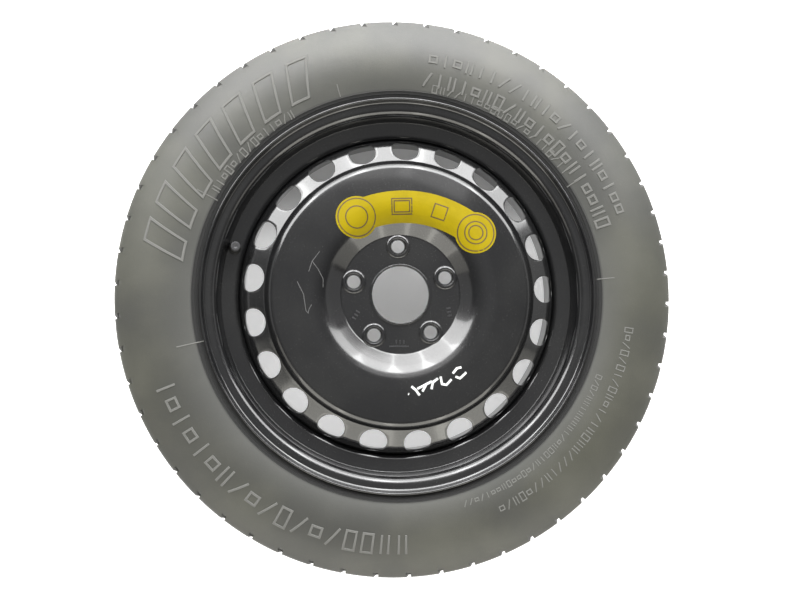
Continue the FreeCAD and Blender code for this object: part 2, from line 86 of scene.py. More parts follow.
Colour = tuple[float, float, float, float]
Tint = tuple[float, float, float]
Path = list[tuple[float, float]]
Rows = list[list[Vector]]
SurfaceMap = Callable[[float, float, float], Vector]
Feed = Union[bpy.types.NodeSocket, float, Colour, Vector]


# Mesh tools


@dataclass(frozen=True)
class Corner:
    """A corner of a turned profile, with the radius that it is bent to."""

    radius: float
    height: float
    bend: float = 0.0

    @property
    def place(self) -> Vector:
        """The corner in the profile's plane."""
        return Vector((self.radius, self.height))


def left_normal(start: Vector, end: Vector) -> Vector:
    """The unit normal to the left of a run, in the profile's plane."""
    along = (end - start).normalized()
    return Vector((-along.y, along.x))


def arc_points(centre: Vector, start: Vector, end: Vector, step: float = ARC_STEP) -> list[Vector]:
    """Points along the shorter arc about a centre.

    Args:
        centre: The arc's centre.
        start: Its first point.
        end: Its last point.
        step: The largest turn between two points, in radians.

    Returns:
        The points, both ends included.
    """
    reach = (start - centre).length
    first = math.atan2(*(start - centre).yx)
    turn = math.remainder(math.atan2(*(end - centre).yx) - first, math.tau)
    count = max(2, math.ceil(abs(turn) / step))
    angles = [first + turn * index / count for index in range(count + 1)]
    return [centre + Vector((math.cos(angle), math.sin(angle))) * reach for angle in angles]


def circle_through(first: Vector, second: Vector, third: Vector) -> Vector:
    """The centre of the circle through three points."""
    chord = second - first
    other = third - first
    cross = 2 * (chord.x * other.y - chord.y * other.x)
    across = (other.y * chord.length_squared - chord.y * other.length_squared) / cross
    along = (chord.x * other.length_squared - other.x * chord.length_squared) / cross
    return first + Vector((across, along))


class Profile:
    """A run of corners in the plane through an axis, with an arc at each bend."""

    def __init__(self, corners: Sequence[Corner]) -> None:
        """Keeps the corners in their order."""
        self.corners = list(corners)

    def bend_points(self, index: int) -> list[Vector]:
        """Points round one inner corner.

        Args:
            index: The corner's place in the run.

        Returns:
            The points of its arc, or the corner alone where it isn't bent.
        """
        before, corner, after = (item.place for item in self.corners[index - 1:index + 2])
        bend = self.corners[index].bend
        if not bend:
            return [corner]
        back = (before - corner).normalized()
        ahead = (after - corner).normalized()
        half = back.angle(ahead) / 2
        centre = corner + (back + ahead).normalized() * (bend / math.sin(half))
        reach = bend / math.tan(half)
        return arc_points(centre, corner + back * reach, corner + ahead * reach)

    def points(self) -> list[Vector]:
        """The whole run, arcs included."""
        inner = [self.bend_points(index) for index in range(1, len(self.corners) - 1)]
        return [self.corners[0].place, *(point for arc in inner for point in arc), self.corners[-1].place]

    def parallel(self, distance: float) -> "Profile":
        """The run that lies to the left of this one.

        Args:
            distance: How far to the left, or to the right if negative.

        Returns:
            The other side of a bent sheet.
        """
        places = [corner.place for corner in self.corners]
        normals = [left_normal(start, end) for start, end in zip(places, places[1:])]
        moved = [Corner(*(places[0] + normals[0] * distance))]
        for index in range(1, len(places) - 1):
            first, second = normals[index - 1:index + 1]
            place = places[index] + (first + second) * (distance / (1 + first.dot(second)))
            left_turn = first.x * second.y - first.y * second.x > 0
            bend = self.corners[index].bend
            new_bend = max(bend - (distance if left_turn else -distance), LEAST_BEND) if bend else 0.0
            moved.append(Corner(place.x, place.y, new_bend))
        moved.append(Corner(*(places[-1] + normals[-1] * distance)))
        return Profile(moved)


def polar(radius: float, angle: float, height: float) -> Vector:
    """A place by its distance from the axis, its angle about it and its height."""
    return Vector((radius * math.cos(angle), radius * math.sin(angle), height))


class Run:
    """A run of profile points, measured by shares of its length."""

    def __init__(self, points: Sequence[Vector]) -> None:
        """Keeps the points and how far along each of them lies."""
        self.points = list(points)
        self.reached = [0.0]
        for start, end in zip(self.points, self.points[1:]):
            self.reached.append(self.reached[-1] + (end - start).length)

    def turned(self, share: float, turn: float) -> Vector:
        """A place on the run, turned about the axis.

        Args:
            share: How far along the run, from 0 to 1.
            turn: The angle about the axis, in radians.

        Returns:
            The place.
        """
        reach = share * self.reached[-1]
        index = max(1, min(bisect.bisect_left(self.reached, reach), len(self.points) - 1))
        before = self.reached[index - 1]
        part = (reach - before) / (self.reached[index] - before)
        point = self.points[index - 1].lerp(self.points[index], part)
        return polar(point.x, turn, point.y)


def even_angles(count: int, start: float = 0.0) -> list[float]:
    """Angles spaced evenly round a turn."""
    return [start + math.tau * index / count for index in range(count)]


def turned_rows(points: Sequence[Vector], angles: Sequence[float]) -> Rows:
    """A profile turned about the axis, one row of places for each of its points."""
    return [[polar(point.x, angle, point.y) for angle in angles] for point in points]


class MeshDraft:
    """Vertices and faces gathered before they become a mesh."""

    def __init__(self) -> None:
        """Starts empty."""
        self.vertices: list[Vector] = []
        self.faces: list[tuple[int, ...]] = []

    def grid(self, rows: Rows, wrap_rows: bool = False, wrap_columns: bool = False) -> None:
        """Adds a grid of quads.

        Args:
            rows: Places, row by row.
            wrap_rows: Whether the last row joins the first.
            wrap_columns: Whether the last column joins the first.
        """
        first = len(self.vertices)
        width = len(rows[0])
        height = len(rows)
        for row in rows:
            self.vertices.extend(row)
        for index in range(height if wrap_rows else height - 1):
            here = first + index * width
            above = first + (index + 1) % height * width
            for column in range(width if wrap_columns else width - 1):
                after = (column + 1) % width
                self.faces.append((here + column, here + after, above + after, above + column))

    def lid(self, ring: Sequence[Vector]) -> None:
        """Adds one face inside a ring of places."""
        first = len(self.vertices)
        self.vertices.extend(ring)
        self.faces.append(tuple(range(first, first + len(ring))))

    def tube(self, rows: Rows) -> None:
        """Adds a grid that closes round on itself, with a lid at each end."""
        self.grid(rows, wrap_columns=True)
        self.lid(rows[0])
        self.lid(rows[-1])

    def moved(self, matrix: Matrix) -> "MeshDraft":
        """The same faces with every place moved by a matrix."""
        copy = MeshDraft()
        copy.vertices = [matrix @ vertex for vertex in self.vertices]
        copy.faces = list(self.faces)
        return copy

    def join(self, other: "MeshDraft") -> None:
        """Adds another draft's faces to this one."""
        first = len(self.vertices)
        self.vertices.extend(other.vertices)
        self.faces.extend(tuple(index + first for index in face) for face in other.faces)

    def mesh(self, name: str, sharp: float = 32.0) -> bpy.types.Mesh:
        """Makes the mesh, welded where grids meet and smooth between its sharp edges.

        Args:
            name: The mesh's name.
            sharp: The angle from which an edge stays sharp, in degrees.

        Returns:
            The new mesh.
        """
        made = bpy.data.meshes.new(name)
        made.from_pydata(self.vertices, [], self.faces)
        work = bmesh.new()
        work.from_mesh(made)
        bmesh.ops.remove_doubles(work, verts=work.verts, dist=WELD_DISTANCE)
        bmesh.ops.dissolve_degenerate(work, edges=work.edges, dist=WELD_DISTANCE)
        bmesh.ops.recalc_face_normals(work, faces=work.faces)
        work.to_mesh(made)
        work.free()
        smooth(made, sharp)
        return made


def smooth(mesh: bpy.types.Mesh, sharp: float) -> None:
    """Shades a mesh smooth, apart from edges that turn by more than an angle in degrees."""
    mesh.shade_smooth()
    mesh.set_sharp_from_angle(angle=math.radians(sharp))


def placed(name: str, data: bpy.types.ID) -> bpy.types.Object:
    """A new object in the scene."""
    item = bpy.data.objects.new(name, data)
    bpy.context.scene.collection.objects.link(item)
    return item


def carved(target: bpy.types.Mesh, tool: bpy.types.Mesh, operation: str) -> bpy.types.Mesh:
    """A mesh with another one added to it or cut out of it.

    Args:
        target: The closed mesh that is worked on.
        tool: The closed mesh that is added or cut out.
        operation: UNION or DIFFERENCE.

    Returns:
        The resulting mesh, in the target's place.
    """
    block = placed("block", target)
    cutter = placed("cutter", tool)
    step = block.modifiers.new("carve", "BOOLEAN")
    step.operation = operation
    step.solver = "EXACT"
    step.object = cutter
    graph = bpy.context.evaluated_depsgraph_get()
    made = bpy.data.meshes.new_from_object(block.evaluated_get(graph))
    made.name = target.name
    for item in (block, cutter):
        bpy.data.objects.remove(item)
    return made


def stroke(draft: MeshDraft, surface: SurfaceMap, path: Path, width: float, height: float,
           closed: bool = False, step: float = 0.003) -> None:
    """Adds a raised stroke with sloping sides that follows a surface.

    Args:
        draft: Where the faces go.
        surface: Turns flat places and a lift into places on the surface.
        path: The stroke's middle line, in the surface's flat measure.
        width: Its width at the top.
        height: How far it stands proud.
        closed: Whether its end joins its start.
        step: The longest piece that stays straight.
    """
    flat = [Vector(place) for place in path]
    ends = flat[1:] + flat[:1] if closed else flat[1:]
    line: list[Vector] = []
    for start, end in zip(flat, ends):
        count = max(1, math.ceil((end - start).length / step))
        line.extend(start.lerp(end, index / count) for index in range(count))
    if not closed:
        line.append(flat[-1])
    slope = height * STROKE_SLOPE
    sunk = -height * STROKE_SINK
    half = width / 2
    sections = ((-half - slope, sunk), (-half, height), (half, height), (half + slope, sunk))
    rows: Rows = []
    total = len(line)
    for index, place in enumerate(line):
        before = line[index - 1] if closed or index else place
        after = line[(index + 1) % total] if closed or index < total - 1 else place
        entering = (place - before).normalized() if before != place else (after - place).normalized()
        leaving = (after - place).normalized() if after != place else entering
        along = (entering + leaving).normalized()
        spread = 1 / max(along.dot(leaving), 0.5)
        across = Vector((-along.y, along.x)) * spread
        rows.append([surface(*(place + across * offset), lift) for offset, lift in sections])
    if closed:
        draft.grid(rows, wrap_rows=True, wrap_columns=True)
        return
    feet: Rows = []
    for place, neighbour, turn in ((line[0], line[1], -1), (line[-1], line[-2], 1)):
        shift = (place - neighbour).normalized() * slope
        side = Vector((-shift.y, shift.x)).normalized() * turn
        feet.append([surface(*(place + shift + side * offset), sunk) for offset, _ in sections])
    draft.tube([feet[0], *rows, feet[1]])


def add_piece(name: str, mesh: bpy.types.Mesh, material: bpy.types.Material, slot: str,
              body: str = WHEEL_BODY, replaces: Sequence[str] = ()) -> bpy.types.Object:
    """Puts a mesh into the scene as a piece of the wheel.

    Args:
        name: The piece's name.
        mesh: Its mesh, already in place.
        material: Its finish.
        slot: The record's slot that the finish belongs to; not used.
        body: The body that it moves with.
        replaces: The nodes that it stands for.

    Returns:
        The new object.
    """
    piece = placed(name, mesh)
    mesh.materials.clear()
    mesh.materials.append(material)
    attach(piece, body)
    if replaces:
        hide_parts(*replaces)
    LOG.info("piece %s: %d faces", name, len(mesh.polygons))
    return piece


def dress_node(name: str, material: bpy.types.Material) -> None:
    """Gives a node of the frame its finish."""
    node = frame["nodes"][name]
    node.data.materials.clear()
    node.data.materials.append(material)
    LOG.info("node %s: %s", name, material.name)


def plain_material(slot: str) -> bpy.types.Material:
    """The plain material that the frame itself brings for a slot."""
    return bpy.data.materials[slot]


def joint_named(name: str) -> dict:
    """The frame's joint of that name."""
    return next(item for item in frame["joints"] if item["name"] == name)


# Shader tools


class Nodes:
    """Short ways to add and join the nodes of one tree."""

    def __init__(self, tree: bpy.types.NodeTree) -> None:
        """Keeps the tree."""
        self.tree = tree

    def add(self, kind: str, **settings: object) -> bpy.types.Node:
        """A new node with some of its settings."""
        node = self.tree.nodes.new(kind)
        for key, value in settings.items():
            setattr(node, key, value)
        return node

    def feed(self, socket: bpy.types.NodeSocket, value: Feed) -> None:
        """Joins a socket to another, or sets its value."""
        if isinstance(value, bpy.types.NodeSocket):
            self.tree.links.new(value, socket)
        else:
            socket.default_value = value

    def math(self, operation: str, first: Feed, second: Feed = 0.0) -> bpy.types.NodeSocket:
        """The result of a sum on two values."""
        node = self.add("ShaderNodeMath", operation=operation)
        self.feed(node.inputs[0], first)
        self.feed(node.inputs[1], second)
        return node.outputs[0]

    def object_place(self) -> bpy.types.NodeSocket:
        """The place on the piece."""
        return self.add("ShaderNodeTexCoord").outputs["Object"]

    def split(self, vector: Feed) -> bpy.types.bpy_prop_collection:
        """A vector's three parts, by name."""
        node = self.add("ShaderNodeSeparateXYZ")
        self.feed(node.inputs[0], vector)
        return node.outputs

    def noise(self, scale: Feed, detail: float, vector: Feed | None = None) -> bpy.types.NodeSocket:
        """Noise about 0.5, by place on the piece unless a vector is given."""
        node = self.add("ShaderNodeTexNoise")
        self.feed(node.inputs["Vector"], self.object_place() if vector is None else vector)
        self.feed(node.inputs["Scale"], scale)
        self.feed(node.inputs["Detail"], detail)
        return node.outputs[0]

    def ramp(self, value: Feed, low: Feed, high: Feed) -> bpy.types.NodeSocket:
        """A smooth step from 0 to 1 between two values."""
        node = self.add("ShaderNodeMapRange", interpolation_type="SMOOTHSTEP")
        self.feed(node.inputs["Value"], value)
        self.feed(node.inputs["From Min"], low)
        self.feed(node.inputs["From Max"], high)
        return node.outputs["Result"]

    def blend(self, factor: Feed, first: Feed, second: Feed) -> bpy.types.NodeSocket:
        """A colour between two colours."""
        node = self.add("ShaderNodeMix", data_type="RGBA")
        self.feed(node.inputs["Factor"], factor)
        self.feed(node.inputs["A"], first)
        self.feed(node.inputs["B"], second)
        return node.outputs["Result"]


class Group(Nodes):
    """A shader node group with number inputs and one output."""

    def __init__(self, name: str, inputs: Sequence[str], output: str) -> None:
        """Makes the group's sockets.

        Args:
            name: The group's name.
            inputs: The names of its inputs.
            output: The name of its one output.
        """
        super().__init__(bpy.data.node_groups.new(name, "ShaderNodeTree"))
        for label in inputs:
            self.tree.interface.new_socket(label, in_out="INPUT", socket_type="NodeSocketFloat")
        self.tree.interface.new_socket(output, in_out="OUTPUT", socket_type="NodeSocketFloat")
        self.given = self.add("NodeGroupInput").outputs
        self.result = self.add("NodeGroupOutput").inputs[output]

    def finished(self, value: Feed) -> bpy.types.NodeTree:
        """The group's tree, with its output joined."""
        self.feed(self.result, value)
        return self.tree


class Effect(Enum):
    """Effects that several finishes share, by the name of their node group."""

    GRAIN = "fine_grain"
    BLOTCH = "soft_blotches"
    DUST = "settled_dust"
    ROLLED = "rolled_lines"
    WEAR = "edge_wear"
    RING = "ring_mask"

    def group(self) -> bpy.types.NodeTree:
        """The effect's node group, built when it is first asked for."""
        found = bpy.data.node_groups.get(self.value)
        if found:
            return found
        return EFFECT_BUILDERS[self]()


def build_grain() -> bpy.types.NodeTree:
    """Fine grain: a height from two sizes of noise."""
    group = Group(Effect.GRAIN.value, ("Scale", "Coarse"), "Height")
    fine = group.noise(group.given["Scale"], 4.0)
    coarse = group.noise(group.math("MULTIPLY", group.given["Scale"], 0.22), 2.0)
    return group.finished(group.math("ADD", fine, group.math("MULTIPLY", coarse, group.given["Coarse"])))


def build_blotch() -> bpy.types.NodeTree:
    """Soft blotches: a mask with large uneven patches."""
    group = Group(Effect.BLOTCH.value, ("Scale", "Low", "High"), "Mask")
    patches = group.noise(group.given["Scale"], 5.0)
    return group.finished(group.ramp(patches, group.given["Low"], group.given["High"]))


def build_dust() -> bpy.types.NodeTree:
    """Settled dust: a mask of specks and film on what faces up."""
    group = Group(Effect.DUST.value, ("Scale", "Film", "Specks"), "Mask")
    normal = group.split(group.add("ShaderNodeNewGeometry").outputs["Normal"])
    upward = group.ramp(normal["Z"], 0.0, 0.9)
    specks = group.ramp(group.noise(group.given["Scale"], 2.0), 0.66, 0.74)
    film = group.ramp(group.noise(14.0, 6.0), 0.35, 0.75)
    both = group.math("ADD", group.math("MULTIPLY", specks, group.given["Specks"]),
                      group.math("MULTIPLY", film, group.given["Film"]))
    return group.finished(group.math("MULTIPLY", both, upward))


def axis_measures(nodes: Nodes) -> tuple[bpy.types.NodeSocket, bpy.types.NodeSocket]:
    """The distance from the wheel's axis and the height along it."""
    place = nodes.split(nodes.object_place())
    across = nodes.math("POWER", place["X"], 2.0)
    along = nodes.math("POWER", place["Y"], 2.0)
    return nodes.math("SQRT", nodes.math("ADD", across, along)), place["Z"]


def build_ring() -> bpy.types.NodeTree:
    """Ring mask: rises from one distance from the wheel's axis to another."""
    group = Group(Effect.RING.value, ("Low", "High"), "Mask")
    radius, _ = axis_measures(group)
    return group.finished(group.ramp(radius, group.given["Low"], group.given["High"]))


def build_rolled() -> bpy.types.NodeTree:
    """Rolled lines: a height that changes with the distance from the wheel's axis, round the whole turn."""
    group = Group(Effect.ROLLED.value, (), "Height")
    radius, height = axis_measures(group)
    spot = group.add("ShaderNodeCombineXYZ")
    group.feed(spot.inputs["X"], radius)
    group.feed(spot.inputs["Y"], height)
    return group.finished(group.noise(900.0, 3.0, spot.outputs[0]))


def build_wear() -> bpy.types.NodeTree:
    """Edge wear: a mask on ridges and edges, broken up by noise."""
    group = Group(Effect.WEAR.value, ("Start", "End", "Scale"), "Mask")
    ridge = group.add("ShaderNodeNewGeometry").outputs["Pointiness"]
    edge = group.ramp(ridge, group.given["Start"], group.given["End"])
    broken = group.ramp(group.noise(group.given["Scale"], 5.0), 0.42, 0.6)
    return group.finished(group.math("MULTIPLY", edge, broken))


EFFECT_BUILDERS: dict[Effect, Callable[[], bpy.types.NodeTree]] = {
    Effect.GRAIN: build_grain,
    Effect.BLOTCH: build_blotch,
    Effect.DUST: build_dust,
    Effect.ROLLED: build_rolled,
    Effect.WEAR: build_wear,
    Effect.RING: build_ring,
}


class Shader(Nodes):
    """The node tree of one material, round its Principled BSDF."""

    def __init__(self, name: str) -> None:
        """Makes an empty material."""
        self.material = bpy.data.materials.new(name)
        self.material.use_nodes = True
        super().__init__(self.material.node_tree)
        self.surface = self.tree.nodes["Principled BSDF"]

    def set(self, **values: Feed) -> None:
        """Sets or joins sockets of the surface, named with underscores for spaces."""
        for label, value in values.items():
            self.feed(self.surface.inputs[label.replace("_", " ")], value)

    def effect(self, effect: Effect, **values: float) -> bpy.types.NodeSocket:
        """A shared effect, with its own values.

        Args:
            effect: Which effect.
            values: Its inputs, by name.

        Returns:
            The effect's output.
        """
        node = self.add("ShaderNodeGroup", node_tree=effect.group())
        for label, value in values.items():
            self.feed(node.inputs[label], value)
        return node.outputs[0]

    def bump(self, height: Feed, distance: float, strength: float = 1.0) -> None:
        """Joins a height to the surface's normal."""
        node = self.add("ShaderNodeBump")
        self.feed(node.inputs["Height"], height)
        node.inputs["Distance"].default_value = distance
        node.inputs["Strength"].default_value = strength
        self.set(Normal=node.outputs[0])


# Finishes


def grey(value: float) -> Colour:
    """A neutral colour."""
    return (value, value, value, 1.0)


@dataclass(frozen=True)
class TyreRubber:
    """Dry rubber that has greyed, with olive patches, a little dust, painted light that pales it towards the
    rim and painted shade in the crease at the rim.
    """

    colour: Colour = (0.036, 0.0365, 0.032, 1.0)
    cast: Colour = (0.046, 0.0465, 0.034, 1.0)
    # Paler towards the rim: mostly painted light on the inner sidewall, partly dust.
    inner: Colour = (0.05, 0.051, 0.046, 1.0)
    dust: Colour = (0.14, 0.138, 0.126, 1.0)
    painted_light_low: float = 0.214
    painted_light_high: float = 0.262
    # Painted shade: the dark crease where the tyre meets the rim's flange, near black and duller.
    crease_painted_shade: Colour = (0.006, 0.006, 0.006, 1.0)
    crease_shade_low: float = 0.2235
    crease_shade_high: float = 0.2275
    crease_shade_dulling: float = 0.4
    roughness: float = 0.4
    specular: float = 0.7

    def material(self) -> bpy.types.Material:
        """The finished material."""
        shader = Shader("tyre_rubber")
        patches = shader.effect(Effect.BLOTCH, Scale=7.0, Low=0.38, High=0.68)
        # Paler towards the rim: mostly painted light on the inner sidewall, partly dust.
        outward = shader.effect(Effect.RING, Low=self.painted_light_low, High=self.painted_light_high)
        tinted = shader.blend(outward, self.inner, shader.blend(patches, self.colour, self.cast))
        dusty = shader.effect(Effect.DUST, Scale=1100.0, Film=0.16, Specks=0.22)
        grain = shader.effect(Effect.GRAIN, Scale=1500.0, Coarse=0.6)
        # Inside this ring the rubber is near black and duller: painted shade in the crease at the flange.
        clear = shader.effect(Effect.RING, Low=self.crease_shade_low, High=self.crease_shade_high)
        rubber = shader.blend(clear, self.crease_painted_shade, shader.blend(dusty, tinted, self.dust))
        shader.set(Base_Color=rubber, Specular_IOR_Level=self.specular)
        dull = shader.math("MULTIPLY", shader.math("SUBTRACT", 1.0, clear), self.crease_shade_dulling)
        rough = shader.math("ADD", self.roughness, shader.math("MULTIPLY", grain, 0.14))
        shader.set(Roughness=shader.math("ADD", rough, dull))
        shader.bump(grain, 0.00018, 0.6)
        return shader.material


@dataclass(frozen=True)
class WheelPaint:
    """Gloss black paint over pressed sheet, with rolled lines under it and worn edges."""

    name: str = "wheel_paint"
    colour: Colour = (0.0075, 0.0076, 0.0082, 1.0)
    worn: Colour = (0.05, 0.05, 0.048, 1.0)
    dust: Colour = (0.12, 0.12, 0.11, 1.0)
    roughness: float = 0.15
    coat: float = 0.85
    coat_roughness: float = 0.09
    lines: float = 0.35
    peel: float = 0.25

    def material(self) -> bpy.types.Material:
        """The finished material."""
        shader = Shader(self.name)
        wear = shader.effect(Effect.WEAR, Start=0.54, End=0.68, Scale=220.0)
        dusty = shader.effect(Effect.DUST, Scale=900.0, Film=0.05, Specks=0.16)
        rolled = shader.effect(Effect.ROLLED)
        peel = shader.effect(Effect.GRAIN, Scale=700.0, Coarse=0.8)
        worn = shader.blend(shader.math("MULTIPLY", wear, 0.5), self.colour, self.worn)
        shader.set(Base_Color=shader.blend(dusty, worn, self.dust))
        spread = shader.math("ADD", shader.math("MULTIPLY", rolled, 0.1), shader.math("MULTIPLY", dusty, 0.6))
        shader.set(Roughness=shader.math("ADD", self.roughness, spread))
        shader.set(Coat_Weight=self.coat, Coat_Roughness=self.coat_roughness)
        lines = shader.math("MULTIPLY", rolled, self.lines)
        height = shader.math("ADD", lines, shader.math("MULTIPLY", peel, self.peel))
        shader.bump(height, 0.00006, 0.5)
        return shader.material


@dataclass(frozen=True)
class PlainFinish:
    """A finish of one colour with grain, slight blotches and a little dust."""

    name: str
    colour: Colour
    roughness: float
    metallic: float = 0.0
    shade: float = 0.75
    grain_scale: float = 1400.0
    grain_height: float = 0.00006
    specular: float = 0.5

    def material(self) -> bpy.types.Material:
        """The finished material."""
        shader = Shader(self.name)
        patches = shader.effect(Effect.BLOTCH, Scale=60.0, Low=0.35, High=0.7)
        darker = tuple(channel * self.shade for channel in self.colour[:3]) + (1.0,)
        grain = shader.effect(Effect.GRAIN, Scale=self.grain_scale, Coarse=0.4)
        shader.set(Base_Color=shader.blend(patches, self.colour, darker), Metallic=self.metallic)
        shader.set(Roughness=shader.math("ADD", self.roughness - 0.07, shader.math("MULTIPLY", grain, 0.1)))
        shader.set(Specular_IOR_Level=self.specular)
        shader.bump(grain, self.grain_height, 0.5)
        return shader.material


LABEL_FILM = PlainFinish("label_film", (0.28, 0.214, 0.002, 1.0), 0.5, shade=0.9, grain_height=0.00003,
                         specular=0.12)
LABEL_INK = PlainFinish("label_ink", (0.07, 0.04, 0.01, 1.0), 0.5)
PEN_PAINT = PlainFinish("pen_paint", (0.82, 0.84, 0.83, 1.0), 0.5, shade=0.85)
BARE_SCRATCH = PlainFinish("bare_scratch", (0.1, 0.1, 0.1, 1.0), 0.5)
STAMP_PAINT = PlainFinish("stamp_paint", (0.035, 0.035, 0.037, 1.0), 0.3)
VALVE_RUBBER = PlainFinish("valve_rubber", (0.02, 0.02, 0.02, 1.0), 0.6)
CAP_PLASTIC = PlainFinish("cap_plastic", (0.045, 0.045, 0.048, 1.0), 0.38)
BRASS = PlainFinish("brass", (0.75, 0.55, 0.26, 1.0), 0.3, metallic=1.0, grain_scale=2600.0)
SPRING_STEEL = PlainFinish("spring_steel", (0.6, 0.6, 0.62, 1.0), 0.25, metallic=1.0)
SEAL_RUBBER = PlainFinish("seal_rubber", (0.03, 0.03, 0.03, 1.0), 0.65)


# Tyre


class ColumnKind(Enum):
    """What a line across the tread runs through."""

    PLAIN = 0
    NOTCH = 1
    SIPE = 2


@dataclass(frozen=True)
class TyreRow:
    """One ring of the tyre's section."""

    radius: float
    height: float
    notched: bool = False
    siped: bool = False


@dataclass(frozen=True)
class TyreColumn:
    """A line across the tread, with its angle at the notches' inner ends and at their mouths."""

    kind: ColumnKind
    inner: float
    mouth: float


@dataclass
class Tyre:
    """The tyre: beads, sidewalls and a grooved tread in one moulding."""

    seat_radius: float = 0.2028
    flange_z: float = 0.0508
    flange_radius: float = 0.2169
    flange_bend: float = 0.007
    heel_bend: float = 0.00639
    seat_taper: float = 5.0
    section_height: float = 0.1072
    sidewall_bulge: float = 0.0132
    widest_height: float = 0.059
    tread_width: float = 0.101
    crown_drop: float = 0.003
    shoulder_round: float = 0.007
    bead_clearance: float = 0.00015
    bead_width: float = 0.017
    bead_inner_height: float = 0.021
    bead_wall: float = 0.0085
    sidewall_thickness: float = 0.0068
    tread_thickness: float = 0.0115
    shoulder_thickness: float = 0.009
    flange_wrap: float = 72.0
    groove_width: float = 0.0055
    groove_depth: float = 0.0046
    groove_spacing: float = 0.023
    notch_count: int = 54
    notch_start_angle: float = 4.8
    notch_width: float = 0.0032
    notch_mouth_width: float = 0.0052
    notch_lean: float = 0.0034
    notch_depth: float = 0.0055
    notch_length: float = 0.015
    sipe_width: float = 0.0009
    sipe_depth: float = 0.003
    wall_gap: float = 0.0001
    block_lines: tuple[float, ...] = (0.0045, 0.0085)
    mouth_reach: float = 1.25
    wall_steps: int = 17
    inside_step: float = math.radians(18)
    shoulder_step: float = math.radians(16)
    rib_radii: tuple[float, ...] = (0.2215, 0.2245)
    rib_height: float = 0.0004
    rib_half_width: float = 0.0005

    def __post_init__(self) -> None:
        """Works out the arcs of the section."""
        self.tread_radius = self.seat_radius + self.section_height
        self.shoulder = Vector((self.tread_radius - self.crown_drop, self.tread_width / 2))
        self.widest = Vector((self.seat_radius + self.widest_height, self.flange_z + self.sidewall_bulge))
        self.flange_centre = Vector((self.flange_radius - self.flange_bend, self.flange_z + self.flange_bend))
        self.wrap_end = self.on_flange(self.flange_wrap)
        self.wall_centre = circle_through(self.shoulder, self.widest, self.wrap_end)
        self.wall_reach = (self.widest - self.wall_centre).length
        half = self.tread_width / 2
        self.crown_reach = (half ** 2 + self.crown_drop ** 2) / (2 * self.crown_drop)
        self.crown_centre = Vector((self.tread_radius - self.crown_reach, 0.0))
        self.notch_floor = self.shoulder.x - self.notch_depth
        self.notch_start = half - self.notch_length

    def on_flange(self, angle: float) -> Vector:
        """A place on the bead's curve round the rim's flange, by its angle in degrees."""
        reach = self.flange_bend + self.bead_clearance
        turn = math.radians(angle)
        return self.flange_centre + Vector((math.sin(turn), -math.cos(turn))) * reach

    def on_wall(self, radius: float, lift: float = 0.0) -> Vector:
        """A place on the outer sidewall, by its distance from the axis, lifted square to the wall."""
        across = radius - self.wall_centre.x
        height = self.wall_centre.y + math.sqrt(self.wall_reach ** 2 - across ** 2)
        place = Vector((radius, height))
        return place + (place - self.wall_centre).normalized() * lift

    def on_crown(self, height: float) -> float:
        """The tread's radius at a height."""
        return self.crown_centre.x + math.sqrt(self.crown_reach ** 2 - height ** 2)

    def shoulder_arc(self) -> list[Vector]:
        """The round between the sidewall and the tread."""
        wall = self.wall_reach - self.shoulder_round
        crown = self.crown_reach - self.shoulder_round
        span = self.wall_centre - self.crown_centre
        reach = span.length
        along = (crown ** 2 - wall ** 2 + reach ** 2) / (2 * reach)
        aside = math.sqrt(crown ** 2 - along ** 2)
        unit = span.normalized()
        centre = self.crown_centre + unit * along + Vector((-unit.y, unit.x)) * aside
        wall_end = centre + (centre - self.wall_centre).normalized() * self.shoulder_round
        crown_end = centre + (centre - self.crown_centre).normalized() * self.shoulder_round
        return arc_points(centre, wall_end, crown_end, self.shoulder_step)

    def wall_rows(self, start: float, end: float) -> list[Vector]:
        """Places up the sidewall with the fine ribs near the bead."""
        count = self.wall_steps
        half = self.rib_half_width
        radii = [(start + (end - start) * index / count, 0.0) for index in range(count)]
        for rib in self.rib_radii:
            radii += [(rib - half, 0.0), (rib, self.rib_height), (rib + half, 0.0)]
        return [self.on_wall(radius, lift) for radius, lift in sorted(radii)]

    def tread_rows(self, top: float) -> list[TyreRow]:
        """Rings of one half of the tread, from the shoulder to its middle."""
        rows = [TyreRow(self.on_crown(height), height, notched=True)
                for height in ((top + self.notch_start) / 2, self.notch_start)]
        gap = self.wall_gap
        inside = self.notch_start - gap
        groove = self.groove_spacing
        half = self.groove_width / 2
        rows.append(TyreRow(self.on_crown(inside), inside))
        for outer, inner in ((groove + half, groove - half), (half, 0.0)):
            deep = self.on_crown(outer) - self.groove_depth
            siped = outer < groove
            rows.append(TyreRow(self.on_crown(outer), outer + gap, siped=siped))
            rows.append(TyreRow(deep, outer))
            rows.append(TyreRow(deep, inner))
            if inner > 0:
                rows.append(TyreRow(self.on_crown(inner), inner - gap, siped=True))
                middle = (inner + half) / 2
                rows.append(TyreRow(self.on_crown(middle), middle, siped=True))
        return rows

    def outer_half(self) -> list[TyreRow]:
        """Rings from the flange's curve up the sidewall to the middle of the tread."""
        round_points = self.shoulder_arc()
        wall = self.wall_rows(self.wrap_end.x, round_points[0].x)
        rows = [TyreRow(*place, notched=place.x > self.notch_floor) for place in wall + round_points]
        return rows + self.tread_rows(round_points[-1].y)

